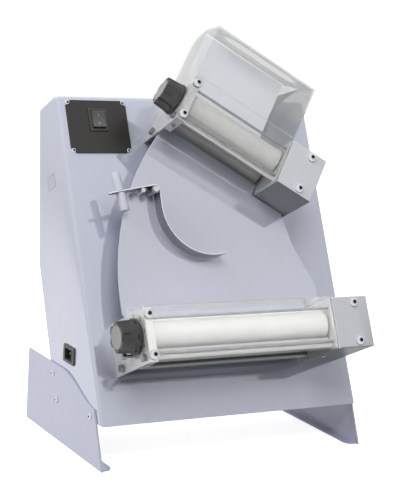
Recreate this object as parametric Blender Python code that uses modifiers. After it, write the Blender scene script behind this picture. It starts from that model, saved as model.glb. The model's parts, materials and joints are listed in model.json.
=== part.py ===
"""A two-stage dough sheeter: a leaning housing with a tilted upper and a level lower pair of rollers."""
import math

import bmesh
import bpy
from mathutils import Matrix, Vector

for old in list(bpy.data.objects):
    bpy.data.objects.remove(old, do_unlink=True)

# ---- driving sizes, in metres ----
gap = 0.0003                      # between pieces that touch
lean = math.radians(25.6)         # of the working face, back from upright

housing_width = 0.446
face_foot_height = 0.0643         # of the face's lower edge above the floor
face_length = 0.512
top_depth = 0.0172
top_drop = 0.0028
shoulder_depth = 0.0465           # the sloping edge behind the top
shoulder_drop = 0.0219
back_lean = 0.025                 # how far the upper back comes forward, down to the kink
kink_height = 0.2565
lower_back_lean = math.radians(23.5)
sheet = 0.0015
fold_radius = 0.006

foot_sheet = 0.003
foot_front = 0.014                # ahead of the face's lower edge
foot_rear = 0.281
foot_height = 0.116
foot_nose_height = 0.084
foot_nose_back = 0.023
foot_shoulder_back = 0.1425
foot_flange = 0.019

chute_height = 0.045              # of the chute plate off the face
chute_sheet = 0.002
post_radius = 0.006
post_places = ((-0.040, 0.330), (0.060, 0.190))   # on the face: across and up
chute_inset = 0.001               # of its sides from the boxes' end plates
chute_drop = 0.0225               # of its top edge below the upper box's middle
tongue_rise = 0.0315              # of its tongue above the lower box's middle
bulge_up, bulge_inset = 0.299, 0.0225             # of the widest point of its left side
right_inset = 0.0384              # of its right side from the lower box's end

box_height = 0.0795
box_depth = 0.120
plate = 0.002
guard_sheet = 0.002
guard_mouth, guard_lip = 0.0665, 0.010            # where the lower guard's top stops, off the face
plate_flange = 0.013
lower_flange_end = 0.070          # of the left plate's lower flange, off the face
lower_up = 0.1103                 # of the lower box's middle above the face's lower edge
lower_left_inset, lower_right_inset = 0.035, 0.0286   # from the housing's sides
upper_from_right = 0.1755         # of the upper box's middle from the housing's side
upper_up = 0.3978
upper_tilt = math.radians(33.3)
upper_beside_sign = 0.0236        # of its left end from the control plate
upper_right = 0.1160              # of its right end from its middle, along the rollers
gear_case_length = 0.0637

roller_radius = 0.023
roller_out = 0.0855               # of the knob's axis off the face
roller_rise = 0.0047              # of the roller axes above the box's centre
throw = 0.0015                    # of the eccentric bush
least_nip = 0.001
shaft_radius = 0.006
roller_play = 0.0025              # between a roller's end and the plate beside it
bush_radius = 0.013
gear_teeth = 22
gear_width = 0.012
tooth_height = 0.004
pulley_width = 0.011
belt_radius = 0.0025
drive_pulley_radius = 0.018       # to the middle of the belt
motor_pulley_radius = 0.012
motor_back = 0.050                # of the motor's axis behind the face
motor_radius = 0.030
motor_length = 0.100
gearbox_length = 0.045
gearbox_half = 0.031

knob_length = 0.029
knob_stand = 0.0025               # between the plate and the knob's skirt
cap_thickness = 0.001
dial_margin = 0.00305             # of the dial from the box's upper edge
knob_inset = 0.0045               # of the knob's skirt inside the dial
knob_taper = 0.006
knob_skirt = 0.006
scallops_round, scallop_radius = 6, 0.0085
dial_thickness = 0.0006
scraper_rod_radius = 0.0045
rod_hex_radius = 0.0059
scraper_rod_edge = 0.00975        # of the tie rods above the box's lower edge
front_rod_out = 0.102
rear_rod_out = 0.0260
scraper_gap = 0.0005

screw_head_radius = 0.006
screw_head_height = 0.0032
screw_top_radius = 0.0028
screw_shank_radius = 0.0025
screw_shank_length = 0.008
screw_inset_left = 0.0067
screw_inset_right = 0.0255
screw_edge = 0.00995              # from the box's upper and lower edges

hood_height = 0.140               # of the front's top edge above the box's centre
hood_peak = 0.1655
hood_back = 0.0110                # of the hood's back off the face
hood_peak_front = 0.058
hood_round = 0.020
slot_inset = 0.0248               # of the feed slot's ends from the hood's sides
slot_width = 0.040
slot_out = 0.084

infeed_behind_nip = 0.0045        # of the infeed plate behind the nip
infeed_clear = 0.0165             # of its lower edge above the roller axes
infeed_top = 0.157
infeed_end_inset = 0.0323         # from the upper wall plate
ear_width = 0.026
ear_length = 0.074
ear_turn = math.radians(32)

sign_width, sign_height = 0.1017, 0.0855
sign_side_margin, sign_top_margin = 0.012, 0.0065
plate_sheet = 0.0015
plate_notch = 0.008
switch_aside, switch_above = 0.00055, 0.01075   # of the switch from the control plate's middle
switch_half_width, switch_half_height = 0.0152, 0.0185
well_half_width, well_half_height = 0.0108, 0.0144
inlet_y, inlet_z = 0.1257, 0.1423
inlet_half_width, inlet_half_height = 0.0197, 0.0135
flange_cover = 0.002              # of a switch's or inlet's frame over its hole
body_inset = 0.0025               # of its body inside that frame
body_depth = 0.026                # of its body behind the sheet
belt_slot_side, belt_slot_end = 0.003, 0.0115     # of the face's belt slots round the pulley
vent_width, vent_height, vent_pitch = 0.004, 0.055, 0.010
vent_rows = 7
vent_column = 0.075               # of each column of vents from the middle
vent_drop = 0.030                 # of the vents below the middle of the upper back

plunger_out, plunger_drop = 0.0600, 0.0190
plunger_radius, plunger_head, plunger_length = 0.0025, 0.0045, 0.016

lever_from_left, lever_up = 0.0737, 0.3395       # of its pivot from the lower box's left end
blade_from_pivot = (0.0833, -0.0270)
blade_sheet = 0.002
blade_low, blade_high = 0.0490, 0.0710
blade_end = math.radians(286)     # where its curve stops, round its centre
wrap_radius = 0.0070              # of the strip's bend round the pivot
arm_slope = math.radians(8)       # below level, to the left
arm_length = 0.0735
arm_taper = ((0.002, 0.0111), (0.030, 0.0100), (0.055, 0.0075), (0.0685, 0.0050))   # along it, half width
handle_radius = 0.007
handle_length = 0.060
handle_core = 0.0030              # of the handle's neck through the arm
handle_at = 0.0538                # along the arm
hub_radius, pivot_radius, pivot_head_radius = 0.0064, 0.0030, 0.0046
stop_at, stop_radius, stop_high = 0.0199, 0.0035, 0.0705          # from the pivot, its radius, off the face

# ---- places that follow from the sizes ----
face_rise = face_length * math.cos(lean)
face_run = face_length * math.sin(lean)
profile = [
    (0.0, face_foot_height),
    (face_run, face_foot_height + face_rise),
    (face_run + top_depth, face_foot_height + face_rise - top_drop),
    (face_run + top_depth + shoulder_depth, face_foot_height + face_rise - top_drop - shoulder_drop),
]
profile.append((profile[3][0] - back_lean, kink_height))
profile.append((profile[4][0] - (kink_height - face_foot_height) * math.tan(lower_back_lean),
                face_foot_height))

half_box = box_height / 2
screw_rise = half_box - screw_edge
scraper_rod_drop = half_box - scraper_rod_edge
sign_middle = (-housing_width / 2 + sign_side_margin + sign_width / 2,
               face_length - sign_top_margin - sign_height / 2)
switch_across = sign_middle[0] + switch_aside
switch_up = sign_middle[1] + switch_above
lower_centre = (0.0, lower_up)    # on the face: across, and up from its lower edge
upper_centre = (housing_width / 2 - upper_from_right, upper_up)
lower_left, lower_right = -housing_width / 2 + lower_left_inset, housing_width / 2 - lower_right_inset
lower_wall = lower_right - gear_case_length
upper_wall = upper_right - gear_case_length
sign_right = sign_middle[0] + sign_width / 2
upper_left = sign_right + upper_beside_sign - upper_centre[0] + half_box * math.sin(upper_tilt)
upper_left /= math.cos(upper_tilt)
slot_length = upper_wall - upper_left - 2 * slot_inset
slot_across = (upper_wall + upper_left) / 2
infeed_end = upper_wall - infeed_end_inset
dial_radius = half_box - roller_rise - dial_margin
knob_radius = dial_radius - knob_inset
knob_top_radius = knob_radius - knob_taper
lever_pivot = (lower_left + lever_from_left, lever_up)
blade_centre = (lever_pivot[0] + blade_from_pivot[0], lever_pivot[1] + blade_from_pivot[1])
plate_front = box_depth - guard_sheet - gap
knob_axis = (-roller_out, roller_rise)
front_axis = (-roller_out + throw, roller_rise)
rear_axis = (front_axis[0] + 2 * roller_radius + least_nip, roller_rise)
motor_axis = (motor_back, roller_rise)
infeed_out = -(front_axis[0] + rear_axis[0]) / 2 - infeed_behind_nip
gear_radius = (rear_axis[0] - front_axis[0]) / 2 - gap
gear_start = 0.003                # right of the wall plate
pulley_start = gear_start + gear_width + 0.006


def ahead_of_face(out, up):
    """How far a point of the face frame lies ahead of the face's lower edge."""
    return out * math.cos(lean) - up * math.sin(lean)


front_reach = max(ahead_of_face(box_depth + gap + screw_head_height,
                                lower_centre[1] - screw_rise - screw_top_radius),
                  ahead_of_face(box_depth, lower_centre[1] - half_box))
back_reach = max(foot_rear, profile[3][0])
face_y = (front_reach - back_reach) / 2

pieces = bpy.data.collections.new("dough_sheeter")
cutters = bpy.data.collections.new("cutters")
for group in (pieces, cutters):
    bpy.context.scene.collection.children.link(group)
cutters.hide_render = True


# ---- materials ----
def material(name, colour, roughness, metallic=0.0, transmission=0.0):
    made = bpy.data.materials.new(name)
    made.use_nodes = True
    made.diffuse_color = (*colour, 1.0)
    shader = made.node_tree.nodes["Principled BSDF"]
    shader.inputs["Base Color"].default_value = (*colour, 1.0)
    shader.inputs["Roughness"].default_value = roughness
    shader.inputs["Metallic"].default_value = metallic
    shader.inputs["Transmission Weight"].default_value = transmission
    return made


looks = {
    "paint": ((0.56, 0.58, 0.68), 0.25, 0.0),
    "steel": ((0.70, 0.70, 0.68), 0.35, 1.0),
    "dark_steel": ((0.30, 0.30, 0.31), 0.40, 1.0),
    "roller": ((0.82, 0.81, 0.77), 0.45, 0.0),
    "black": ((0.03, 0.03, 0.03), 0.50, 0.0),
    "cap": ((0.35, 0.35, 0.34), 0.50, 0.0),
    "clear": ((0.90, 0.92, 0.90), 0.05, 0.0, 1.0),
    "dial": ((0.75, 0.75, 0.72), 0.40, 0.0),
    "nylon": ((0.85, 0.84, 0.80), 0.50, 0.0),
    "rubber": ((0.05, 0.05, 0.05), 0.80, 0.0),
    "cast": ((0.38, 0.39, 0.41), 0.55, 0.8),
    "sign": ((0.02, 0.018, 0.017), 0.25, 0.0),
}


# ---- frames ----
def frame_empty(name, parent, location, rotation):
    empty = bpy.data.objects.new(name, None)
    empty.parent = parent
    empty.location = location
    empty.rotation_euler = rotation
    pieces.objects.link(empty)
    return empty


# in a face frame x runs across, z up the face and -y straight out of it
face_frame = frame_empty("face_frame", None, (0, face_y, face_foot_height), (-lean, 0, 0))
lower_frame = frame_empty("lower_frame", face_frame, (lower_centre[0], 0, lower_centre[1]), (0, 0, 0))
upper_frame = frame_empty("upper_frame", face_frame, (upper_centre[0], 0, upper_centre[1]),
                          (0, upper_tilt, 0))
ground_frame = frame_empty("ground_frame", None, (0, face_y, 0), (0, 0, 0))


# ---- shape helpers ----
def add_object(name, mesh, parent, location=(0, 0, 0), look=None):
    made = bpy.data.objects.new(name, mesh)
    made.parent = parent
    made.location = location
    if look:
        mesh.materials.append(material(name, *looks[look]))
        pieces.objects.link(made)
    else:
        cutters.objects.link(made)
        made.hide_render = True
        made.display_type = "WIRE"
    return made


def mesh_from(shape, name):
    mesh = bpy.data.meshes.new(name)
    shape.to_mesh(mesh)
    shape.free()
    return mesh


def block(name, parent, low, high, look=None, origin=(0, 0, 0)):
    """A box between two corners given in the parent's frame, with its origin where asked."""
    shape = bmesh.new()
    bmesh.ops.create_cube(shape, size=1.0)
    size = Vector(high) - Vector(low)
    middle = (Vector(high) + Vector(low)) / 2 - Vector(origin)
    bmesh.ops.scale(shape, vec=size, verts=shape.verts)
    bmesh.ops.translate(shape, vec=middle, verts=shape.verts)
    return add_object(name, mesh_from(shape, name), parent, origin, look)


turn_to = {
    "x": Matrix.Rotation(math.pi / 2, 4, "Y"),
    "y": Matrix.Rotation(-math.pi / 2, 4, "X"),
    "z": Matrix.Identity(4),
}


def rod(name, parent, centre, axis, start, end, radius, look=None, end_radius=None, sides=32):
    """A round or tapered bar along an axis, from start to end measured from its centre point."""
    shape = bmesh.new()
    bmesh.ops.create_cone(shape, cap_ends=True, segments=sides, radius1=radius,
                          radius2=radius if end_radius is None else end_radius, depth=end - start)
    bmesh.ops.translate(shape, vec=(0, 0, (start + end) / 2), verts=shape.verts)
    bmesh.ops.transform(shape, matrix=turn_to[axis], verts=shape.verts)
    return add_object(name, mesh_from(shape, name), parent, centre, look)


def turned(name, parent, centre, axis, outline, look=None, steps=32):
    """A profile of (along, radius) points turned about an axis through the centre."""
    mesh = bpy.data.meshes.new(name)
    points = [(radius, 0, along) for along, radius in outline]
    mesh.from_pydata(points, [(i, i + 1) for i in range(len(points) - 1)], [])
    mesh.transform(turn_to[axis])
    made = add_object(name, mesh, parent, centre, look)
    screw = made.modifiers.new("turn", "SCREW")
    screw.axis = axis.upper()
    screw.steps = steps
    screw.render_steps = steps
    screw.use_merge_vertices = True
    screw.merge_threshold = 0.00001
    screw.use_normal_calculate = True
    screw.use_normal_flip = axis == "y"
    return made


def outline_mesh(name, points, thickness, plane):
    """A flat outline with a thickness centred on its plane; plane 'xz' faces -y, 'yz' faces x."""
    curve = bpy.data.curves.new(name, "CURVE")
    curve.dimensions = "2D"
    curve.fill_mode = "BOTH"
    curve.extrude = thickness / 2
    spline = curve.splines.new("POLY")
    spline.points.add(len(points) - 1)
    for point, (across, up) in zip(spline.points, points):
        point.co = (across, up, 0, 1)
    spline.use_cyclic_u = True
    holder = bpy.data.objects.new(name + "_curve", curve)
    bpy.context.scene.collection.objects.link(holder)
    graph = bpy.context.evaluated_depsgraph_get()
    mesh = bpy.data.meshes.new_from_object(holder.evaluated_get(graph))
    bpy.data.objects.remove(holder)
    shape = bmesh.new()
    shape.from_mesh(mesh)
    bmesh.ops.remove_doubles(shape, verts=shape.verts, dist=0.00001)
    turn = Matrix.Rotation(math.pi / 2, 4, "X")
    if plane == "yz":
        turn = Matrix.Rotation(math.pi / 2, 4, "Z") @ turn
    bmesh.ops.transform(shape, matrix=turn, verts=shape.verts)
    bmesh.ops.recalc_face_normals(shape, faces=shape.faces)
    shape.to_mesh(mesh)
    shape.free()
    mesh.name = name
    return mesh


def flat_piece(name, parent, points, thickness, location, look=None, plane="xz"):
    return add_object(name, outline_mesh(name, points, thickness, plane), parent, location, look)


def boolean(target, other, operation="DIFFERENCE"):
    step = target.modifiers.new(other.name, "BOOLEAN")
    step.operation = operation
    step.object = other
    return step


def bevel(target, width, segments=1, degrees=40):
    step = target.modifiers.new("bevel", "BEVEL")
    step.width = width
    step.segments = segments
    step.limit_method = "ANGLE"
    step.angle_limit = math.radians(degrees)
    step.use_clamp_overlap = True


def solidify(target, thickness, offset=-1.0):
    step = target.modifiers.new("sheet", "SOLIDIFY")
    step.thickness = thickness
    step.offset = offset
    step.use_even_offset = True


def open_up(mesh, is_open):
    """Takes away the faces whose normal and middle pass the test, which leaves an open surface."""
    shape = bmesh.new()
    shape.from_mesh(mesh)
    gone = [face for face in shape.faces if is_open(face.normal, face.calc_center_median())]
    bmesh.ops.delete(shape, geom=gone, context="FACES")
    bmesh.ops.dissolve_limit(shape, angle_limit=0.01, verts=shape.verts, edges=shape.edges)
    shape.to_mesh(mesh)
    shape.free()


def arc(centre, radius, start, end, count):
    """Points on an arc from start to end, both in radians."""
    return [(centre[0] + radius * math.cos(start + (end - start) * i / count),
             centre[1] + radius * math.sin(start + (end - start) * i / count)) for i in range(count + 1)]


def arc_through(first, middle, last, count):
    """Points on the circle through three points, from the first to the last."""
    (ax, ay), (bx, by), (cx, cy) = first, middle, last
    d = 2 * (ax * (by - cy) + bx * (cy - ay) + cx * (ay - by))
    ux = ((ax**2 + ay**2) * (by - cy) + (bx**2 + by**2) * (cy - ay) + (cx**2 + cy**2) * (ay - by)) / d
    uy = ((ax**2 + ay**2) * (cx - bx) + (bx**2 + by**2) * (ax - cx) + (cx**2 + cy**2) * (bx - ax)) / d
    start = math.atan2(ay - uy, ax - ux)
    sweep = (math.atan2(cy - uy, cx - ux) - start + math.pi) % (2 * math.pi) - math.pi
    return arc((ux, uy), math.hypot(ax - ux, ay - uy), start, start + sweep, count)


def box_to_face(across, up):
    """A point of the upper box's frame in the face's own coordinates."""
    return (upper_centre[0] + across * math.cos(upper_tilt) + up * math.sin(upper_tilt),
            upper_centre[1] - across * math.sin(upper_tilt) + up * math.cos(upper_tilt))


# ---- housing ----
def housing_shell():
    mesh = outline_mesh("housing_shell", profile, housing_width, "yz")
    rear = profile[4][0]

    def is_open(normal, middle):
        behind = middle.y > profile[5][0] * 0.9 and abs(normal.x) < 0.5 and normal.z < 0.35
        below = normal.z < -0.9
        return behind and middle.y > rear * 0.6 or below

    open_up(mesh, is_open)
    shell = add_object("housing_shell", mesh, ground_frame, look="paint")
    bevel(shell, fold_radius, 3, 60)
    solidify(shell, sheet)
    for name, frame, wall in (("lower_belt_slot", lower_frame, lower_wall),
                              ("upper_belt_slot", upper_frame, upper_wall)):
        left = wall + pulley_start - belt_slot_side
        right = wall + pulley_start + pulley_width + belt_slot_side
        reach = drive_pulley_radius + belt_slot_end
        boolean(shell, block(name, frame, (left, -0.01, roller_rise - reach),
                             (right, 0.01, roller_rise + reach)))
    boolean(shell, switch_window("switch_hole"))
    half_width, half_height = inlet_half_width - flange_cover, inlet_half_height - flange_cover
    side = -housing_width / 2
    boolean(shell, block("inlet_hole", ground_frame,
                         (side - 0.01, inlet_y - half_width, inlet_z - half_height),
                         (side + 0.01, inlet_y + half_width, inlet_z + half_height)))
    return shell


def switch_window(name):
    """The cutter for the hole that the switch's body goes through, in the face and in the control plate."""
    half_width, half_height = switch_half_width - flange_cover, switch_half_height - flange_cover
    return block(name, face_frame, (switch_across - half_width, -0.01, switch_up - half_height),
                 (switch_across + half_width, 0.01, switch_up + half_height))


def rear_cover():
    half = housing_width / 2 - sheet - gap
    slope = Vector((profile[4][0] - profile[3][0], profile[4][1] - profile[3][1])).normalized()
    top = Vector(profile[3]) + slope * (sheet + 2 * gap + 0.0005)
    foot = Vector(profile[5]) + Vector((math.sin(lower_back_lean), math.cos(lower_back_lean))) * 0.004
    shoulder = top + slope * fold_radius
    points = [(half - fold_radius, *top), (half, *shoulder), (half, *profile[4]), (half, *foot)]
    mesh = bpy.data.meshes.new("rear_cover")
    mesh.from_pydata([(side * x, y, z) for side in (-1, 1) for x, y, z in points], [],
                     [(0, 1, 2, 6, 5, 4), (2, 3, 7, 6)])
    cover = add_object("rear_cover", mesh, ground_frame, look="paint")
    solidify(cover, sheet, 1.0)
    boolean(cover, vent_slots())
    return cover


def vent_slots():
    """Two columns of upright slots through the upper back."""
    shape = bmesh.new()
    middle_z = (profile[3][1] + profile[4][1]) / 2 - vent_drop
    middle_y = (profile[3][0] + profile[4][0]) / 2
    for column in (-vent_column, vent_column):
        for row in range(vent_rows):
            made = bmesh.ops.create_cube(shape, size=1.0)["verts"]
            bmesh.ops.scale(shape, vec=(vent_width, 0.05, vent_height), verts=made)
            across = column + (row - (vent_rows - 1) / 2) * vent_pitch
            bmesh.ops.translate(shape, vec=(across, middle_y, middle_z), verts=made)
    return add_object("vent_slots", mesh_from(shape, "vent_slots"), ground_frame)


def floor_plate():
    half = housing_width / 2 - sheet - gap
    low = profile[0][1] + 0.0002
    return block("floor_plate", ground_frame, (-half, fold_radius + sheet + 0.002, low),
                 (half, profile[5][0] - 0.002, low + 0.002), "steel")


def foot(name, side):
    """A side foot with its inward flange along the floor."""
    rise = foot_height - foot_nose_height
    run = foot_shoulder_back - foot_nose_back
    curve = []
    for step in range(9):
        t = step / 8
        curve.append((foot_shoulder_back - run * t, foot_height - rise * t * t * (3 - 2 * t)))
    points = [(foot_rear, 0), (foot_rear, foot_height)] + curve + [(-foot_front, 0)]
    centre_x = side * (housing_width / 2 + gap + foot_sheet / 2)
    plate_piece = flat_piece(name, ground_frame, points, foot_sheet, (centre_x, 0, 0), "paint", "yz")
    inner = -side * foot_flange
    outer = side * foot_sheet / 4
    corner = foot_flange * 0.6
    flange_outline = [(outer, -foot_front + 0.004), (inner + side * corner, -foot_front + 0.004)]
    centre = (inner + side * corner, -foot_front + 0.004 + corner)
    flange_outline += arc(centre, corner, -math.pi / 2, -math.pi / 2 - side * math.pi / 2, 4)[1:]
    flange_outline += [(inner, foot_rear - 0.010), (outer, foot_rear - 0.002)]
    mesh = outline_mesh(name + "_flange", flange_outline, foot_sheet, "xz")
    mesh.transform(Matrix.Rotation(-math.pi / 2, 4, "X"))
    flange = add_object(name + "_flange", mesh, ground_frame, (centre_x, 0, foot_sheet / 2))
    boolean(plate_piece, flange, "UNION")
    return plate_piece


# ---- control plate, switch and inlet ----
def control_plate():
    points = []
    for quarter, (side, level) in enumerate(((1, 1), (-1, 1), (-1, -1), (1, -1))):
        corner = (side * sign_width / 2, level * sign_height / 2)
        start = (quarter - 1) * math.pi / 2
        points += arc(corner, plate_notch, start, start - math.pi / 2, 5)
    location = (sign_middle[0], -gap - plate_sheet / 2, sign_middle[1])
    panel = flat_piece("control_plate", face_frame, points, plate_sheet, location, "sign")
    boolean(panel, switch_window("switch_window"))
    return panel


def switch():
    """The switch's frame and body, with its rocker on a pivot across the face."""
    front = gap + plate_sheet + gap
    bezel = block("switch_bezel", face_frame,
                  (switch_across - switch_half_width, -front - 0.002, switch_up - switch_half_height),
                  (switch_across + switch_half_width, -front, switch_up + switch_half_height), "black")
    half_width, half_height = switch_half_width - body_inset, switch_half_height - body_inset
    body = block("switch_body", face_frame,
                 (switch_across - half_width, -front - 0.001, switch_up - half_height),
                 (switch_across + half_width, body_depth, switch_up + half_height))
    well = block("switch_well", face_frame,
                 (switch_across - well_half_width, -front - 0.005, switch_up - well_half_height),
                 (switch_across + well_half_width, 0.0100, switch_up + well_half_height))
    boolean(bezel, body, "UNION")
    boolean(bezel, well)
    half_up = well_half_height - 0.0012
    rocker_outline = [(-0.0075, -half_up), (-0.0050, 0.0), (-0.0075, half_up), (0.0020, half_up * 0.82),
                      (0.0040, 0.0), (0.0020, -half_up * 0.82)]
    pivot = (switch_across, -0.0010, switch_up)
    rocker = flat_piece("rocker_button", face_frame, rocker_outline, 2 * (well_half_width - gap), pivot,
                        "cap", "yz")
    bevel(rocker, 0.0008)
    return bezel, rocker


def power_inlet():
    outer = -housing_width / 2
    flange = block("power_inlet", ground_frame,
                   (outer - gap - 0.0025, inlet_y - inlet_half_width, inlet_z - inlet_half_height),
                   (outer - gap, inlet_y + inlet_half_width, inlet_z + inlet_half_height), "black")
    bevel(flange, 0.0008)
    half_width, half_height = inlet_half_width - body_inset, inlet_half_height - body_inset
    body = block("inlet_body", ground_frame,
                 (outer - gap - 0.001, inlet_y - half_width, inlet_z - half_height),
                 (outer + body_depth, inlet_y + half_width, inlet_z + half_height))
    well = block("inlet_well", ground_frame, (outer - 0.01, inlet_y - 0.0120, inlet_z - 0.0085),
                 (outer + 0.015, inlet_y + 0.0120, inlet_z + 0.0085))
    boolean(flange, body, "UNION")
    boolean(flange, well)
    for step in (-1, 0, 1):
        pin = block(f"inlet_pin_{step + 2}", ground_frame,
                    (outer + 0.002, inlet_y + step * 0.007 - 0.001, inlet_z - 0.002 + 0.003 * (step == 0)),
                    (outer + 0.017, inlet_y + step * 0.007 + 0.001, inlet_z + 0.002 + 0.003 * (step == 0)))
        boolean(flange, pin, "UNION")
    return flange


# ---- chute ----
def chute_plate():
    """The plate that hands the dough from the upper rollers to the lower ones."""
    inset = plate + gap + chute_inset
    top = -chute_drop
    left_top = box_to_face(upper_left + inset, top)
    left_mouth = box_to_face(upper_left + inset, -half_box - 0.001)
    right_top = box_to_face(upper_wall - inset, top)
    right_mouth = box_to_face(upper_wall - inset, -half_box - 0.002)
    shelf = lower_centre[1] + half_box + guard_sheet + 0.002
    right_shoulder = box_to_face(upper_right - 0.010, -half_box - 0.002)
    tongue = lower_centre[1] + tongue_rise
    left_side = arc_through(left_mouth, (lower_left + bulge_inset, bulge_up),
                            (lower_left + 0.0010, shelf), 12)
    right = lower_right - right_inset
    right_side = arc_through((right - 0.002, 0.190), (right - 0.019, 0.2240), (right - 0.032, 0.2540), 4)
    points = [left_top] + left_side
    points += [(lower_left + inset, shelf), (lower_left + inset, tongue), (lower_wall - inset, tongue),
               (lower_wall - inset, shelf), (right, shelf)]
    points += right_side + [right_shoulder, right_mouth, right_top]
    location = (0, -chute_height - chute_sheet / 2, 0)
    return flat_piece("chute_plate", face_frame, points, chute_sheet, location, "paint")


def chute_post(name, across, up):
    return rod(name, face_frame, (across, 0, up), "y", -chute_height + gap, -gap, post_radius,
               "dark_steel", sides=20)


# ---- lever ----
def lever():
    """The swinging strip that turns the dough: its arm, bend round the pivot and curved blade, with the handle,
    the pivot and the post that stops it."""
    surface = chute_height + chute_sheet
    bend_end = math.pi / 2 + arm_slope
    half_sheet = blade_sheet / 2
    blade_radius = blade_centre[0] - lever_pivot[0] - wrap_radius
    start = (lever_pivot[0] + wrap_radius * math.cos(bend_end), lever_pivot[1] + wrap_radius * math.sin(bend_end))

    def along_arm(along, up):
        return (start[0] - along * math.cos(arm_slope) - up * math.sin(arm_slope),
                start[1] - along * math.sin(arm_slope) + up * math.cos(arm_slope))

    right = ([along_arm(arm_length, half_sheet)] + arc(lever_pivot, wrap_radius + half_sheet, bend_end, 0, 14)
             + arc(blade_centre, blade_radius - half_sheet, math.pi, blade_end, 24))
    left = ([along_arm(arm_length, -half_sheet)] + arc(lever_pivot, wrap_radius - half_sheet, bend_end, 0, 14)
            + arc(blade_centre, blade_radius + half_sheet, math.pi, blade_end, 24))
    outline = [(x - lever_pivot[0], z - lever_pivot[1]) for x, z in right + left[::-1]]
    middle = (blade_low + blade_high) / 2
    half_wide = (blade_high - blade_low) / 2
    pivot = (lever_pivot[0], 0, lever_pivot[1])
    mesh = outline_mesh("lever_blade", outline, 2 * half_wide, "xz")
    mesh.transform(Matrix.Translation((0, -middle, 0)))
    blade = add_object("lever_blade", mesh, face_frame, pivot, "steel")

    nose = arc((-arm_taper[-1][0], 0), arm_taper[-1][1], math.pi / 2, math.pi, 6)[1:]
    edge_line = [(-along, half) for along, half in arm_taper] + nose + [(-arm_length - 0.006, 0.0)]
    for side in (1, -1):
        points = edge_line + [(-arm_length - 0.006, half_wide + 0.002), (-arm_taper[0][0], half_wide + 0.002)]
        mesh = outline_mesh("arm_taper", [(x, side * y) for x, y in points], 0.010, "xz")
        mesh.transform(Matrix.Rotation(-arm_slope, 4, "Y") @ Matrix.Rotation(math.pi / 2, 4, "X"))
        boolean(blade, add_object("arm_taper", mesh, face_frame, (start[0], -middle, start[1])))
    boolean(blade, rod("lever_hub", face_frame, pivot, "y", -blade_high + 0.0002, -blade_low - 0.0002, hub_radius,
                       sides=28), "UNION")
    boolean(blade, rod("lever_bore", face_frame, pivot, "y", -blade_high - 0.01, -blade_low + 0.01,
                       pivot_radius + gap, sides=20))

    centre = along_arm(handle_at, 0)
    handle_centre = (centre[0], -middle, centre[1])
    core_hole = rod("handle_hole", face_frame, handle_centre, "z", -0.01, 0.01, handle_core + gap, sides=20)
    core_hole.rotation_euler = (0, -arm_slope, 0)
    boolean(blade, core_hole)
    half = handle_length / 2
    neck = half_sheet + gap
    edge = 0.0015
    handle = turned("lever_handle", face_frame, handle_centre, "z",
                    [(-half, 0), (-half, handle_radius - edge), (-half + edge, handle_radius), (-neck, handle_radius),
                     (-neck, handle_core), (neck, handle_core), (neck, handle_radius),
                     (half - edge, handle_radius), (half, handle_radius - edge), (half, 0)], "nylon", 28)
    handle.rotation_euler = (0, -arm_slope, 0)

    top = blade_high + gap
    post = turned("lever_pivot", face_frame, pivot, "y",
                  [(-top - 0.0025, 0), (-top - 0.0025, pivot_head_radius - 0.0012),
                   (-top - 0.0012, pivot_head_radius), (-top, pivot_head_radius), (-top, pivot_radius),
                   (-surface - gap, pivot_radius), (-surface - gap, 0)], "steel", 24)

    arm_middle = start[1] - (start[0] - lever_pivot[0] + stop_at) * math.tan(arm_slope)
    stop_up = arm_middle - (half_sheet + gap + stop_radius) / math.cos(arm_slope)
    stop = turned("lever_stop", face_frame, (lever_pivot[0] - stop_at, 0, stop_up), "y",
                  [(-stop_high, 0), (-stop_high, stop_radius - 0.0008), (-stop_high + 0.0008, stop_radius),
                   (-surface - gap, stop_radius), (-surface - gap, 0)], "steel", 24)
    return blade, handle, post, stop


# ---- roller boxes ----
def hole(name, frame, centre_x, axis_point, radius, reach=0.006):
    return rod(name, frame, (centre_x, axis_point[0], axis_point[1]), "x", -reach, reach, radius, sides=32)


def screw_places(left, right):
    for number, (across, up) in enumerate(((left + screw_inset_left, screw_rise),
                                           (left + screw_inset_left, -screw_rise),
                                           (right - screw_inset_right, screw_rise),
                                           (right - screw_inset_right, -screw_rise)), 1):
        yield number, across, up


def left_plate(tag, frame, left):
    piece = block(f"{tag}_left_plate", frame, (left, -plate_front, -half_box),
                  (left + plate, -gap, half_box), "steel")
    front = block(f"{tag}_plate_flange", frame, (left + plate / 4, -plate_front, -half_box),
                  (left + plate_flange, -plate_front + plate, half_box))
    lower = block(f"{tag}_plate_lower_flange", frame,
                  (left + plate / 4, -plate_front + plate / 4, -half_box),
                  (left + plate_flange, -lower_flange_end, -half_box + plate))
    boolean(piece, front, "UNION")
    boolean(piece, lower, "UNION")
    boolean(piece, hole(f"{tag}_bush_hole", frame, left, knob_axis, bush_radius + gap))
    boolean(piece, hole(f"{tag}_left_shaft_hole", frame, left, rear_axis, shaft_radius + gap))
    for label, out in (("front", front_rod_out), ("rear", rear_rod_out)):
        boolean(piece, hole(f"{tag}_{label}_rod_hole_left", frame, left, (-out, -scraper_rod_drop),
                            scraper_rod_radius + gap))
    cut_screw_holes(tag, frame, piece, left, left, (1, 2))
    return piece


def cut_screw_holes(tag, frame, piece, left, right, numbers):
    for number, across, up in screw_places(left, right):
        if number in numbers:
            boolean(piece, rod(f"{piece.name}_screw_hole_{number}", frame, (across, -box_depth, up), "y",
                               -0.005, 0.009, screw_shank_radius + gap, sides=16))


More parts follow.
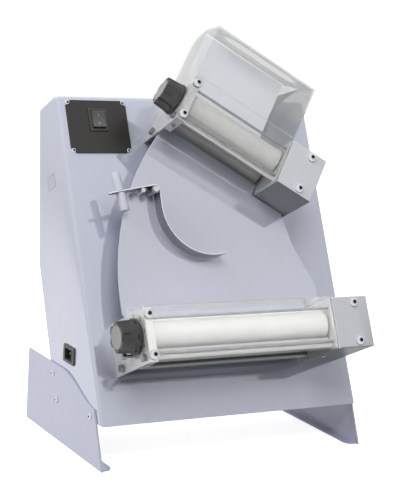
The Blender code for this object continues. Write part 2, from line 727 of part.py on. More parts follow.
def wall_plate(tag, frame, wall):
    """The inner plate that carries the rollers' driven ends and closes the gear case."""
    inner = half_box - sheet - gap
    piece = block(f"{tag}_wall_plate", frame, (wall - plate, -plate_front + 0.001, -inner),
                  (wall, -gap, inner), "steel")
    boolean(piece, hole(f"{tag}_wall_front_hole", frame, wall, knob_axis, shaft_radius + throw + gap))
    boolean(piece, hole(f"{tag}_wall_rear_hole", frame, wall, rear_axis, shaft_radius + gap))
    for label, out in (("front", front_rod_out), ("rear", rear_rod_out)):
        boolean(piece, hole(f"{tag}_{label}_rod_hole_right", frame, wall, (-out, -scraper_rod_drop),
                            scraper_rod_radius + gap))
    return piece


def gear_case(tag, frame, wall, left, right):
    """The sheet box at the driven end, open towards its wall plate and the housing."""
    start = wall + gap
    mesh = outline_mesh(f"{tag}_gear_case", [(start, -half_box), (right, -half_box), (right, half_box),
                                             (start, half_box)], box_depth - gap, "xz")
    mesh.transform(Matrix.Translation((0, -(box_depth + gap) / 2, 0)))
    open_up(mesh, lambda normal, middle: normal.x < -0.9 or normal.y > 0.9)
    case = add_object(f"{tag}_gear_case", mesh, frame, look="paint")
    bevel(case, 0.0015, 2)
    solidify(case, sheet)
    cut_screw_holes(tag, frame, case, left, right, (3, 4))
    return case


def roller(name, frame, axis_point, left, wall, right_end, left_end):
    start = left + plate + roller_play
    end = wall - plate - roller_play
    round_edge = 0.0012
    outline = [(left_end, 0), (left_end, shaft_radius), (start, shaft_radius),
               (start, roller_radius - round_edge), (start + round_edge, roller_radius),
               (end - round_edge, roller_radius), (end, roller_radius - round_edge),
               (end, shaft_radius), (right_end, shaft_radius), (right_end, 0)]
    return turned(name, frame, (0, *axis_point), "x", outline, "roller", 48)


def gear(name, frame, wall, axis_point, phase, hub=None):
    """A straight-toothed gear, and a grooved pulley beside it when a hub is asked for."""
    root = gear_radius - tooth_height
    pitch = 2 * math.pi / gear_teeth
    points = []
    for tooth in range(gear_teeth):
        middle = tooth * pitch + phase
        for radius, share in ((root, -0.30), (gear_radius, -0.15), (gear_radius, 0.15), (root, 0.30)):
            angle = middle + share * pitch
            points.append((radius * math.cos(angle), radius * math.sin(angle)))
    mesh = outline_mesh(name, points, gear_width, "yz")
    mesh.transform(Matrix.Translation((wall + gear_start + gear_width / 2, 0, 0)))
    piece = add_object(name, mesh, frame, (0, *axis_point), "nylon")
    if hub:
        boolean(piece, hub, "UNION")
    boolean(piece, rod(name + "_bore", frame, (wall, *axis_point), "x", -0.01, 0.06, shaft_radius + gap))
    return piece


def pulley_outline(start, belt_ring):
    """A pulley's profile with a square groove that the round belt lies in."""
    rim = belt_ring + belt_radius + 0.001
    floor = belt_ring - belt_radius - gap
    side = (pulley_width - 2 * (belt_radius + gap)) / 2
    end = start + pulley_width
    return [(start, 0), (start, rim), (start + side, rim), (start + side, floor), (end - side, floor),
            (end - side, rim), (end, rim), (end, 0)]


def belt(name, frame, wall):
    """A round belt as a closed loop about the two pulleys."""
    across = wall + pulley_start + pulley_width / 2
    span = motor_axis[0] - rear_axis[0]
    lift = math.acos((drive_pulley_radius - motor_pulley_radius) / span)
    loop = []
    for step in range(15):
        angle = lift + (2 * math.pi - 2 * lift) * step / 14
        loop.append((rear_axis[0] + drive_pulley_radius * math.cos(angle),
                     rear_axis[1] + drive_pulley_radius * math.sin(angle)))
    for step in range(13):
        angle = -lift + 2 * lift * step / 12
        loop.append((motor_axis[0] + motor_pulley_radius * math.cos(angle),
                     motor_axis[1] + motor_pulley_radius * math.sin(angle)))
    curve = bpy.data.curves.new(name, "CURVE")
    curve.dimensions = "3D"
    curve.bevel_depth = belt_radius
    curve.bevel_resolution = 2
    spline = curve.splines.new("POLY")
    spline.points.add(len(loop) - 1)
    for point, (y, z) in zip(spline.points, loop):
        point.co = (across, y, z, 1)
    spline.use_cyclic_u = True
    made = bpy.data.objects.new(name, curve)
    made.parent = frame
    curve.materials.append(material(name, *looks["rubber"]))
    pieces.objects.link(made)
    return made


def gearmotor(tag, frame, wall):
    """A small motor and gearbox bolted to the back of the face."""
    right = wall + pulley_start - 0.006
    box_left = right - gearbox_length
    piece = block(f"{tag}_gearmotor", frame,
                  (box_left, sheet + 2 * gap, motor_axis[1] - gearbox_half),
                  (right, motor_axis[0] + gearbox_half, motor_axis[1] + gearbox_half), "cast")
    bevel(piece, 0.002)
    body = turned(f"{tag}_motor_body", frame, (0, *motor_axis), "x",
                  [(box_left - motor_length, 0), (box_left - motor_length, motor_radius - 0.006),
                   (box_left - motor_length + 0.006, motor_radius), (box_left + 0.002, motor_radius),
                   (box_left + 0.002, 0)], steps=32)
    shaft = rod(f"{tag}_motor_shaft", frame, (0, *motor_axis), "x", right - 0.005,
                wall + pulley_start + pulley_width + 0.003, 0.005, sides=20)
    boolean(piece, body, "UNION")
    boolean(piece, shaft, "UNION")
    return piece


def motor_pulley(tag, frame, wall):
    start = wall + pulley_start
    outline = pulley_outline(start, motor_pulley_radius)
    piece = turned(f"{tag}_motor_pulley", frame, (0, *motor_axis), "x", outline, "dark_steel", 32)
    boolean(piece, rod(f"{tag}_motor_pulley_bore", frame, (start, *motor_axis), "x", -0.01, 0.03,
                       0.005 + gap, sides=20))
    return piece


def knob(tag, frame, left):
    """The roller-setting knob with its scallops, cap and the eccentric bush behind it."""
    base = left - gap - dial_thickness - knob_stand
    tip = base - knob_length
    body = turned(f"{tag}_knob", frame, (0, *knob_axis), "x",
                  [(tip, 0), (tip, knob_top_radius - 0.0015), (tip + 0.0015, knob_top_radius),
                   (base - knob_skirt, knob_radius - 0.0030), (base - knob_skirt, knob_radius),
                   (base, knob_radius), (base, 0)], "black", 48)
    around = knob_radius + 0.001
    scallops = bmesh.new()
    for step in range(scallops_round):
        angle = 2 * math.pi * step / scallops_round + math.radians(15)
        made = bmesh.ops.create_cone(scallops, cap_ends=True, segments=20, radius1=scallop_radius,
                                     radius2=scallop_radius, depth=knob_length)["verts"]
        bmesh.ops.transform(scallops, matrix=turn_to["x"], verts=made)
        bmesh.ops.translate(scallops, verts=made,
                            vec=(tip - knob_skirt + knob_length / 2 - 0.002, around * math.cos(angle),
                                 around * math.sin(angle)))
    mesh = mesh_from(scallops, "scallops")
    boolean(body, add_object(f"{tag}_knob_scallops", mesh, frame, (0, *knob_axis)))
    seat = knob_top_radius - 0.006
    boolean(body, rod(f"{tag}_cap_seat", frame, (tip, *knob_axis), "x", -0.002, cap_thickness, seat + gap))
    cap = rod(f"{tag}_knob_cap", frame, (tip, *knob_axis), "x", -0.0002, cap_thickness - gap, seat, "cap")
    bush_end = left + plate + roller_play - gap
    bush = rod(f"{tag}_eccentric_bush", frame, (0, *knob_axis), "x", base + gap, bush_end, bush_radius,
               "dark_steel", sides=36)
    boolean(bush, rod(f"{tag}_eccentric_bore", frame, (0, *front_axis), "x", left - 0.0005, bush_end + 0.005,
                      shaft_radius + gap))
    return body, cap, bush


def dial_plate(tag, frame, left):
    piece = rod(f"{tag}_dial_plate", frame, (left, *knob_axis), "x", -gap - dial_thickness, -gap,
                dial_radius, "dial", sides=48)
    boolean(piece, hole(f"{tag}_dial_hole", frame, left, knob_axis, bush_radius + gap))
    return piece


def scraper(tag, label, frame, left, wall, out, roller_axis, clear_radius):
    """A tie rod through both plates that carries a thin blade up to its roller."""
    rod_at = Vector((-out, -scraper_rod_drop))
    to_axis = Vector(roller_axis) - rod_at
    reach = to_axis.length - clear_radius
    head = 0.005
    piece = rod(f"{tag}_{label}_scraper", frame, (0, *rod_at), "x", left - gap - head + 0.0005, wall + 0.004,
                scraper_rod_radius, "steel", sides=24)
    boolean(piece, rod(f"{tag}_{label}_hex", frame, (0, *rod_at), "x", left - gap - head, left - gap,
                       rod_hex_radius, sides=6), "UNION")
    start, end = left + plate + 0.001, wall - plate - 0.001
    blade = block(f"{tag}_{label}_blade", frame, (start, 0, -0.0006), (end, reach, 0.0006))
    blade.location = (0, *rod_at)
    blade.rotation_euler = (math.atan2(to_axis.y, to_axis.x), 0, 0)
    boolean(piece, blade, "UNION")
    return piece


def box_screw(tag, frame, number, across, up):
    head = screw_head_height
    start = -box_depth - gap
    name = f"{tag}_box_screw_{number}"
    piece = turned(name, frame, (across, 0, up), "y",
                   [(start - head, 0), (start - head, screw_top_radius), (start - head * 0.78, 0.0044),
                    (start - head * 0.35, 0.0057), (start, screw_head_radius), (start, screw_shank_radius),
                    (start + screw_shank_length, screw_shank_radius), (start + screw_shank_length, 0)],
                   "steel", 24)
    socket = rod(f"{name}_socket", frame, (across, 0, up), "y", start - head - 0.001, start - head + 0.002,
                 0.0022, sides=6)
    boolean(piece, socket)
    return piece


def roller_box(tag, frame, left, wall, right):
    pierced = left_plate(tag, frame, left)
    wall_plate(tag, frame, wall)
    gear_case(tag, frame, wall, left, right)
    gear_end, pulley_end = wall + gear_start + gear_width, wall + pulley_start + pulley_width
    roller(f"{tag}_front_roller", frame, front_axis, left, wall, gear_end + 0.002, left + gap)
    roller(f"{tag}_rear_roller", frame, rear_axis, left, wall, pulley_end + 0.002, left)
    gear(f"{tag}_front_gear", frame, wall, front_axis, 0)
    boss = [(wall + gear_start + gear_width / 2, 0), (wall + gear_start + gear_width / 2, 0.014),
            (wall + pulley_start, 0.014)]
    hub = turned(f"{tag}_pulley_hub", frame, (0, *rear_axis), "x",
                 boss + pulley_outline(wall + pulley_start, drive_pulley_radius)[1:], steps=36)
    gear(f"{tag}_rear_gear", frame, wall, rear_axis, math.pi / gear_teeth, hub)
    belt(f"{tag}_belt", frame, wall)
    gearmotor(tag, frame, wall)
    motor_pulley(tag, frame, wall)
    knob(tag, frame, left)
    dial_plate(tag, frame, left)
    scraper(tag, "front", frame, left, wall, front_rod_out, knob_axis, roller_radius + throw + scraper_gap)
    scraper(tag, "rear", frame, left, wall, rear_rod_out, rear_axis, roller_radius + scraper_gap)
    for number, across, up in screw_places(left, right):
        box_screw(tag, frame, number, across, up)
    return pierced


def lower_guard():
    """The clear cover over the lower rollers: front, top and a lip at the mouth."""
    front = -(box_depth - guard_sheet)
    top = half_box + gap
    points = [(front, -half_box), (front, top), (-guard_mouth, top), (-guard_mouth, top + guard_lip)]
    start, end = lower_left, lower_wall
    mesh = bpy.data.meshes.new("lower_guard")
    mesh.from_pydata([(x, y, z) for x in (start, end) for y, z in points], [],
                     [(i, i + 1, i + 5, i + 4) for i in range(3)])
    guard = add_object("lower_guard", mesh, lower_frame, look="clear")
    bevel(guard, 2 * gap, 2)
    solidify(guard, guard_sheet)
    cut_screw_holes("lower", lower_frame, guard, lower_left, lower_right, (1, 2))
    return guard


def upper_hood():
    """The clear hood over the upper rollers, with its feed slot, and its front drawn down over the box."""
    start, end = upper_left, upper_wall
    low = half_box + gap
    back = -hood_back
    outline = [(-box_depth, low), (back, low), (back, hood_peak - hood_round)]
    corner = (back - hood_round, hood_peak - hood_round)
    outline += arc(corner, hood_round, 0, math.pi / 2, 6)[1:]
    outline += [(-hood_peak_front, hood_peak), (-box_depth, hood_height)]
    mesh = outline_mesh("upper_hood", outline, end - start, "yz")
    mesh.transform(Matrix.Translation(((start + end) / 2, 0, 0)))
    open_up(mesh, lambda normal, middle: normal.z < -0.9)
    hood = add_object("upper_hood", mesh, upper_frame, look="clear")
    solidify(hood, guard_sheet)
    apron = block("hood_apron", upper_frame, (start, -box_depth, -half_box),
                  (end, -box_depth + guard_sheet, low + 0.004))
    boolean(hood, apron, "UNION")
    half = slot_length / 2 - slot_width / 2
    stadium = arc((half, 0), slot_width / 2, -math.pi / 2, math.pi / 2, 10)
    stadium += arc((-half, 0), slot_width / 2, math.pi / 2, 1.5 * math.pi, 10)
    mesh = outline_mesh("feed_slot", stadium, 0.04, "xz")
    mesh.transform(Matrix.Rotation(math.pi / 2, 4, "X"))
    slot = add_object("feed_slot", mesh, upper_frame,
                      (slot_across, -slot_out, (hood_height + hood_peak) / 2))
    slot.rotation_euler = (math.atan2(hood_peak - hood_height, box_depth - hood_peak_front), 0, 0)
    boolean(hood, slot)
    cut_screw_holes("upper", upper_frame, hood, upper_left, upper_right, (1, 2))
    return hood


def infeed_plate():
    """The sheet behind the feed slot that leads dough down to the nip, with a flared ear on its right."""
    start = upper_left + guard_sheet + gap
    low = roller_rise + infeed_clear
    piece = block("infeed_plate", upper_frame, (start, -infeed_out - sheet, low),
                  (infeed_end, -infeed_out, infeed_top), "paint")
    ear_outline = [(-0.001, infeed_top - ear_length), (-0.001, infeed_top), (ear_width, infeed_top),
                   (0.002, infeed_top - ear_length * 0.62)]
    ear = flat_piece("infeed_ear", upper_frame, ear_outline, sheet, (infeed_end, -infeed_out - sheet / 2, 0))
    ear.rotation_euler = (0, 0, -ear_turn)
    boolean(piece, ear, "UNION")
    return piece


def index_plunger(pierced):
    """A spring plunger below the lower knob that holds its setting, through a hole in the left plate."""
    left = lower_left
    centre = (0, -plunger_out, -plunger_drop)
    place = (-plunger_out, -plunger_drop)
    boolean(pierced, hole("plunger_hole", lower_frame, left, place, plunger_radius + gap))
    piece = turned("index_plunger", lower_frame, centre, "x",
                   [(left - plunger_length, 0), (left - plunger_length, plunger_head - 0.001),
                    (left - plunger_length + 0.001, plunger_head), (left - 0.009, plunger_head),
                    (left - 0.009, plunger_radius), (left + plate + 0.006, plunger_radius),
                    (left + plate + 0.006, 0)],
                   "steel", 20)
    return piece


housing_shell()
rear_cover()
floor_plate()
foot("foot_left", -1)
foot("foot_right", 1)
control_plate()
switch()
power_inlet()
chute_plate()
chute_post("chute_post_top", *post_places[0])
chute_post("chute_post_bottom", *post_places[1])
lever()
lower_left_plate = roller_box("lower", lower_frame, lower_left, lower_wall, lower_right)
roller_box("upper", upper_frame, upper_left, upper_wall, upper_right)
lower_guard()
upper_hood()
infeed_plate()
index_plunger(lower_left_plate)
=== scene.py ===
import json
import math

import bmesh
import bpy
import numpy as np
from mathutils import Matrix, Vector


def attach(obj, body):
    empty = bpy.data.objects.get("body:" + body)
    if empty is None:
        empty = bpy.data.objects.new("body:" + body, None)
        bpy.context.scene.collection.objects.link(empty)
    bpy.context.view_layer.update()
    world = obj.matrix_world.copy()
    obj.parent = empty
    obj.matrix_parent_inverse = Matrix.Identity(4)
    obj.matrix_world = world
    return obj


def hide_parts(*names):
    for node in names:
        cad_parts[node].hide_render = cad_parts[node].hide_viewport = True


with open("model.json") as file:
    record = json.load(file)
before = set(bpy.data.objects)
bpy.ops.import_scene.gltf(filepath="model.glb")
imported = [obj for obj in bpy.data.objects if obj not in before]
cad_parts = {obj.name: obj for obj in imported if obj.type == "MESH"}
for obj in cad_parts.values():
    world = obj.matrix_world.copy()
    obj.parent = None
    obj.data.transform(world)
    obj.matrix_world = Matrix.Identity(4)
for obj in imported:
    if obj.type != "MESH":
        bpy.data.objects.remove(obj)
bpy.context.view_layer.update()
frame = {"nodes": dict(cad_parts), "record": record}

nodes = frame["nodes"]
print("frame loaded:", len(nodes), "nodes")

# the working face leans back; the two roller boxes stand on it, the upper one tilted
machine = {
    "faceFootY": -0.1035623, "faceFootZ": 0.0643, "lean": math.radians(25.6), "width": 0.446,
    "lowerBoxUp": 0.1103, "upperBox": (0.0475, 0.3978), "upperTilt": math.radians(33.3),
}


def shifted(place, x, y, z):
    return place @ Matrix.Translation((x, y, z))


def spun(place, angle, axis):
    return place @ Matrix.Rotation(angle, 4, axis)


# on the face, local x is across, local z up the face and local -y out of it
groundFrame = Matrix.Translation((0, machine["faceFootY"], 0))
faceFrame = spun(shifted(groundFrame, 0, 0, machine["faceFootZ"]), -machine["lean"], "X")
upperAcross, upperUp = machine["upperBox"]
boxFrames = {
    "lower": shifted(faceFrame, 0, 0, machine["lowerBoxUp"]),
    "upper": spun(shifted(faceFrame, upperAcross, 0, upperUp), machine["upperTilt"], "Y"),
}
intoFace = Matrix.Rotation(math.pi / 2, 4, "Z")       # local +X becomes +Y, which goes into the face
# left end, wall plate and right end of each box
boxEnds = {"lower": (-0.188, 0.1307, 0.1944), "upper": (-0.1332560, 0.0523, 0.1160)}
boxSizes = {"half": 0.03975, "depth": 0.120, "sheet": 0.002}
axes = {"knob": (-0.0855, 0.0047), "front": (-0.0840, 0.0047), "rear": (-0.0370, 0.0047)}


def showObject(name, data):
    made = bpy.data.objects.new(name, data)
    bpy.context.scene.collection.objects.link(made)
    return made


def adjust(thing, **values):
    for key, value in values.items():
        setattr(thing, key, value)
    return thing


socketKinds = {1: "NodeSocketFloat", 3: "NodeSocketVector", 4: "NodeSocketColor"}


def newGroup(name, inputs, outputs):
    # inputs and outputs are given by name, each with a value whose length tells its kind
    group = bpy.data.node_groups.new(name, "ShaderNodeTree")
    for way, sockets in (("INPUT", inputs), ("OUTPUT", outputs)):
        for label, value in sockets.items():
            kind = socketKinds[np.size(value)]
            group.interface.new_socket(name=label, in_out=way, socket_type=kind).default_value = value
    return group, group.nodes.new("NodeGroupInput").outputs, group.nodes.new("NodeGroupOutput")


def feed(tree, node, links):
    # each input is given as (input, source socket or plain value)
    for key, source in links:
        if isinstance(source, bpy.types.NodeSocket):
            tree.links.new(source, node.inputs[key])
        else:
            node.inputs[key].default_value = source
    return node


def addNode(tree, kind, links=(), **settings):
    return feed(tree, adjust(tree.nodes.new(kind), **settings), links)


def mathNode(tree, operation, *values):
    return addNode(tree, "ShaderNodeMath", enumerate(values), operation=operation).outputs[0]


def noiseNode(tree, vector, scale, detail=2.0, roughness=0.5):
    return addNode(tree, "ShaderNodeTexNoise", (("Vector", vector), ("Scale", scale), ("Detail", detail),
                                               ("Roughness", roughness))).outputs["Fac"]


def mixColour(tree, factor, first, second):
    return addNode(tree, "ShaderNodeMix", ((0, factor), (6, first), (7, second)), data_type="RGBA").outputs[2]


def skinGroup(name, build, **more):
    # a surface skin as a group: a height, a tone mixed from two patterns, and a roughness that wanders
    # with the tone by the spread
    inputs = {"Vector": (0, 0, 0), "Scale": 900.0, "Roughness": 0.3, "Spread": 0.1, **more}
    group, given, outside = newGroup(name, inputs, {"Height": 0.0, "Roughness": 0.0, "Tone": 0.0})
    height, first, second, share = build(group, given["Vector"], given)
    tone = mathNode(group, "ADD", mathNode(group, "MULTIPLY", first, share),
                    mathNode(group, "MULTIPLY", second, 1 - share))
    rough = mathNode(group, "MULTIPLY_ADD", mathNode(group, "SUBTRACT", tone, 0.5), given["Spread"],
                     given["Roughness"])
    feed(group, outside, (("Height", height), ("Roughness", rough), ("Tone", tone)))
    return group


def paintSkin(group, vector, given):
    # gloss paint: fine orange peel as height, and a slow cloudy tone
    peel = noiseNode(group, vector, given["Scale"], 1.0)
    return peel, noiseNode(group, vector, 9.0, 3.0), noiseNode(group, vector, 55.0, 4.0, 0.6), 0.7


def sheetGrain(group, vector, given):
    # rolled or brushed metal: noise drawn out along the local X of the vector gives hairlines
    parts = addNode(group, "ShaderNodeSeparateXYZ", (("Vector", vector),)).outputs
    along = mathNode(group, "MULTIPLY", parts["X"], given["Stretch"])
    drawn = addNode(group, "ShaderNodeCombineXYZ", (("X", along), ("Y", parts["Y"]), ("Z", parts["Z"]))).outputs[0]
    hair = noiseNode(group, drawn, given["Scale"], 3.0, 0.6)
    return hair, hair, noiseNode(group, vector, 22.0, 3.0), 0.6


def turningMarks(group, vector, given):
    # fine rings left by a lathe: a wave over the distance along the axis, broken up by a little noise
    along = addNode(group, "ShaderNodeSeparateXYZ", (("Vector", vector),)).outputs["X"]
    noise = noiseNode(group, vector, 60.0, 3.0)
    phase = mathNode(group, "MULTIPLY_ADD", along, given["Scale"], mathNode(group, "MULTIPLY", noise, 4.0))
    wave = mathNode(group, "MULTIPLY_ADD", mathNode(group, "SINE", phase), 0.5, 0.5)
    return wave, wave, noise, 0.35


def mouldedGrain(group, vector, given):
    # moulded plastic: a shallow spark-eroded grain as height and a faint mottling of the tone
    grain = noiseNode(group, vector, given["Scale"], 2.0, 0.6)
    return grain, grain, noiseNode(group, vector, 120.0, 3.0), 0.4


def flourDustGroup():
    # a thin film of flour that settles in drifts: noise pushed through a soft threshold
    grey, flour = (0.5, 0.5, 0.5, 1), (0.85, 0.83, 0.78, 1)
    inputs = {"Vector": (0, 0, 0), "Drift Scale": 30.0, "Cover": 0.3, "Colour": grey, "Flour": flour}
    group, given, outside = newGroup("flourDust", inputs, {"Colour": grey})
    drift = noiseNode(group, given["Vector"], given["Drift Scale"], 5.0, 0.65)
    speck = noiseNode(group, given["Vector"], 900.0)
    raised = mathNode(group, "SUBTRACT", mathNode(group, "MULTIPLY_ADD", speck, 0.3, drift), 0.62)
    shaped = addNode(group, "ShaderNodeClamp", (("Value", mathNode(group, "MULTIPLY", raised, 4.0)),)).outputs[0]
    mask = mathNode(group, "MULTIPLY", shaped, given["Cover"])
    feed(group, outside, (("Colour", mixColour(group, mask, given["Colour"], given["Flour"])),))
    return group


skinGroups = {
    "paint": skinGroup("paintSkin", paintSkin),
    "sheet": skinGroup("sheetGrain", sheetGrain, Stretch=0.03),
    "turned": skinGroup("turningMarks", turningMarks),
    "moulded": skinGroup("mouldedGrain", mouldedGrain),
}
flourDust = flourDustGroup()

finishes = {
    # skin, its scale, roughness, spread and stretch, dark and light tone, bump strength and distance,
    # plain sockets, flour
    "housingPaint": ("paint", (700.0, 0.06, 0.04), (0.52, 0.54, 0.64), (0.555, 0.575, 0.68),
        0.08, 0.00006, {"Metallic": 0.24, "IOR": 1.9}, 0.0),
    "footPaint": ("paint", (700.0, 0.12, 0.05), (0.465, 0.485, 0.635), (0.5, 0.52, 0.672),
        0.08, 0.00006, {"Metallic": 0.12, "IOR": 1.7}, 0.0),
    "chutePaint": ("paint", (700.0, 0.07, 0.05), (0.545, 0.563, 0.65), (0.58, 0.598, 0.688),
        0.08, 0.00006, {"Metallic": 0.28, "IOR": 1.9}, 0.03),
    "infeedPaint": ("paint", (700.0, 0.25, 0.08), (0.56, 0.577, 0.62), (0.595, 0.612, 0.655),
        0.08, 0.00006, {"IOR": 1.6}, 0.04),
    # painted shade: a dark steel for the infeed ear's shaded flap and for the lower rear scraper
    "paintedShadeSteel": ("sheet", (800.0, 0.34, 0.12, 0.04), (0.2, 0.205, 0.205), (0.26, 0.265, 0.265),
        0.05, 0.00004, {"Metallic": 0.4}, 0.0),
    "caseSatin": ("sheet", (700.0, 0.36, 0.1, 0.03), (0.7, 0.715, 0.75), (0.75, 0.765, 0.8),
        0.05, 0.00004, {"Specular IOR Level": 0.22}, 0.0),
    # a darker copy of caseSatin for the cases' undersides: painted shade
    "caseUnderShade": ("sheet", (700.0, 0.36, 0.1, 0.03), (0.3, 0.31, 0.335), (0.35, 0.36, 0.385),
        0.05, 0.00004, {"Specular IOR Level": 0.22}, 0.0),
    "plateSteel": ("sheet", (800.0, 0.34, 0.16, 0.04), (0.56, 0.56, 0.545), (0.68, 0.68, 0.665),
        0.06, 0.00005, {"Metallic": 0.45}, 0.05),
    "brightSteel": ("turned", (2600.0, 0.2, 0.1), (0.62, 0.62, 0.66), (0.74, 0.74, 0.78),
        0.03, 0.00002, {"Metallic": 0.55}, 0.0),
    # painted shade for the screws' hexagonal sockets
    "socketShade": ("moulded", (1600.0, 0.5, 0.1), (0.012, 0.013, 0.03), (0.02, 0.021, 0.045),
        0.05, 0.00003, {"Metallic": 0.3}, 0.0),
    "barSteel": ("turned", (2600.0, 0.28, 0.1), (0.24, 0.245, 0.27), (0.33, 0.335, 0.36),
        0.03, 0.00002, {"Metallic": 0.5}, 0.0),
    "scraperSteel": ("sheet", (800.0, 0.34, 0.14, 0.03), (0.44, 0.44, 0.43), (0.55, 0.55, 0.54),
        0.05, 0.00004, {"Metallic": 0.5}, 0.05),
    "bladeSteel": ("sheet", (700.0, 0.22, 0.14, 0.02), (0.21, 0.22, 0.245), (0.3, 0.31, 0.34),
        0.05, 0.00004, {"Metallic": 0.7}, 0.04),
    "darkSteel": ("turned", (2200.0, 0.34, 0.14), (0.16, 0.16, 0.165), (0.25, 0.25, 0.255),
        0.06, 0.00003, {"Metallic": 0.9}, 0.0),
    "rollerPlastic": ("turned", (1500.0, 0.34, 0.1), (0.5, 0.499, 0.482), (0.555, 0.554, 0.537),
        0.04, 0.00004, {"IOR": 1.5}, 0.1),
    "gearNylon": ("moulded", (900.0, 0.45, 0.1), (0.7, 0.68, 0.6), (0.8, 0.78, 0.71), 0.08, 0.00005, {}, 0.0),
    "beltRubber": ("moulded", (1200.0, 0.72, 0.2), (0.02, 0.02, 0.02), (0.045, 0.045, 0.044), 0.2, 0.0001, {}, 0.0),
    "motorCasting": ("moulded", (500.0, 0.5, 0.2), (0.22, 0.23, 0.245), (0.32, 0.33, 0.345),
        0.3, 0.0002, {"Metallic": 0.4}, 0.0),
    "knobPlastic": ("moulded", (1500.0, 0.42, 0.16), (0.026, 0.026, 0.026), (0.046, 0.046, 0.045),
        0.16, 0.00006, {}, 0.0),
    "capGrey": ("moulded", (1500.0, 0.34, 0.12), (0.22, 0.22, 0.215), (0.28, 0.28, 0.272),
        0.08, 0.00004, {"Metallic": 0.2}, 0.0),
    "dialPrint": ("sheet", (700.0, 0.36, 0.12, 0.05), (0.54, 0.54, 0.515), (0.64, 0.64, 0.615),
        0.04, 0.00003, {"Metallic": 0.3}, 0.0),
    "signBlack": ("paint", (900.0, 0.3, 0.08), (0.023, 0.021, 0.018), (0.03, 0.027, 0.023), 0.05, 0.00004, {}, 0.0),
    "switchBlack": ("moulded", (1500.0, 0.45, 0.14), (0.035, 0.035, 0.034), (0.06, 0.06, 0.058),
        0.12, 0.00005, {}, 0.0),
    "rockerGrey": ("moulded", (1500.0, 0.42, 0.12), (0.085, 0.085, 0.083), (0.115, 0.115, 0.112),
        0.12, 0.00005, {}, 0.0),
    "handlePale": ("paint", (800.0, 0.22, 0.1), (0.6, 0.62, 0.72), (0.66, 0.68, 0.78),
        0.06, 0.00005, {"IOR": 1.6}, 0.0),
    "markPale": ("moulded", (1500.0, 0.5, 0.1), (0.4, 0.4, 0.39), (0.48, 0.48, 0.47), 0.03, 0.00003, {}, 0.0),
    "markDark": ("moulded", (1500.0, 0.5, 0.1), (0.022, 0.022, 0.024), (0.035, 0.035, 0.037), 0.03, 0.00003, {}, 0.0),
    "labelLine": ("moulded", (1500.0, 0.5, 0.1), (0.2, 0.2, 0.215), (0.26, 0.26, 0.275), 0.03, 0.00003, {}, 0.0),
    "labelFilm": ("paint", (900.0, 0.25, 0.05), (0.55, 0.57, 0.67), (0.59, 0.61, 0.71), 0.03, 0.00003, {}, 0.0),
    # painted highlight: the pale bead of the infeed hem and the lever strip's edges
    "hemPale": ("paint", (800.0, 0.2, 0.08), (0.84, 0.85, 0.88), (0.9, 0.91, 0.94), 0.05, 0.00004, {}, 0.0),
    "clearEdge": ("moulded", (700.0, 0.3, 0.1), (0.8, 0.81, 0.81), (0.86, 0.87, 0.87),
        0.04, 0.00003, {"Alpha": 0.30}, 0.0),
    "guardEdgeHighlight": ("moulded", (700.0, 0.3, 0.1), (0.9, 0.91, 0.91), (0.95, 0.96, 0.96),
        0.04, 0.00003, {"Alpha": 0.75}, 0.0),
    "pinBrass": ("turned", (2600.0, 0.3, 0.1), (0.42, 0.34, 0.2), (0.56, 0.46, 0.28),
        0.03, 0.00002, {"Metallic": 0.9}, 0.0),
}


def newMaterial(name):
    made = bpy.data.materials.new(name)
    made.use_nodes = True
    return made, made.node_tree, made.node_tree.nodes["Principled BSDF"]


def addSkin(tree, skin, settings):
    vector = addNode(tree, "ShaderNodeTexCoord").outputs["Object"]
    labels = ("Scale", "Roughness", "Spread", "Stretch")
    surface = addNode(tree, "ShaderNodeGroup", (("Vector", vector), *zip(labels, settings)),
                      node_tree=skinGroups[skin])
    return vector, surface.outputs


def finishMaterial(name):
    skin, settings, dark, light, strength, distance, plain, flour = finishes[name]
    made, tree, shader = newMaterial(name)
    vector, surface = addSkin(tree, skin, settings)
    colour = mixColour(tree, surface["Tone"], (*dark, 1), (*light, 1))
    if flour:
        dust = (("Vector", vector), ("Colour", colour), ("Cover", flour))
        colour = addNode(tree, "ShaderNodeGroup", dust, node_tree=flourDust).outputs["Colour"]
    bump = addNode(tree, "ShaderNodeBump", (("Height", surface["Height"]), ("Strength", strength),
                                            ("Distance", distance))).outputs[0]
    feed(tree, shader, (("Base Color", colour), ("Roughness", surface["Roughness"]), ("Normal", bump),
                        *plain.items()))
    return made


clearSheets = {
    # tint of the sheet, share that lets light through (the rest is a milky haze), and the share of the lamps'
    # light that is kept off what is under it
    "clearHood": ((0.69, 0.697, 0.692), 0.965, 0.06),
    "clearGuard": ((0.93, 0.935, 0.93), 0.98, 0.05),
}
clearSurface = {"skin": (220.0, 0.03, 0.05), "ior": 1.006, "coat": 0.7, "coatIor": 1.5, "shade": 0.985}


def clearMaterial(name):
    # a transparent sheet that still lets lamps through: its alpha falls for shadow rays only,
    # and its index is next to one, so that thin walls and corners don't bend what is behind them
    tint, clear, shadow = clearSheets[name]
    size = clearSurface
    made, tree, shader = newMaterial(name)
    surface = addSkin(tree, "paint", size["skin"])[1]
    low = [channel * size["shade"] for channel in tint]
    colour = mixColour(tree, surface["Tone"], (*low, 1), (*tint, 1))
    path = addNode(tree, "ShaderNodeLightPath").outputs
    keep = mathNode(tree, "MULTIPLY_ADD", path["Is Shadow Ray"], shadow - 1.0, 1.0)
    feed(tree, shader, (("Base Color", colour), ("Roughness", surface["Roughness"]), ("IOR", size["ior"]),
                        ("Transmission Weight", clear), ("Coat Weight", size["coat"]),
                        ("Coat IOR", size["coatIor"]), ("Alpha", keep)))
    return made


materials = {name: finishMaterial(name) for name in finishes}
materials.update({name: clearMaterial(name) for name in clearSheets})
print("materials made:", len(materials))


def paint(mesh, material):
    mesh.materials.clear()
    mesh.materials.append(materials[material])


def showPiece(name, mesh, material, body, replaced=()):
    # puts the mesh in the scene as a piece that rides on its body
    made = showObject(name, mesh)
    paint(mesh, material)
    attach(made, body)
    if replaced:
        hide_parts(*replaced)
    return made


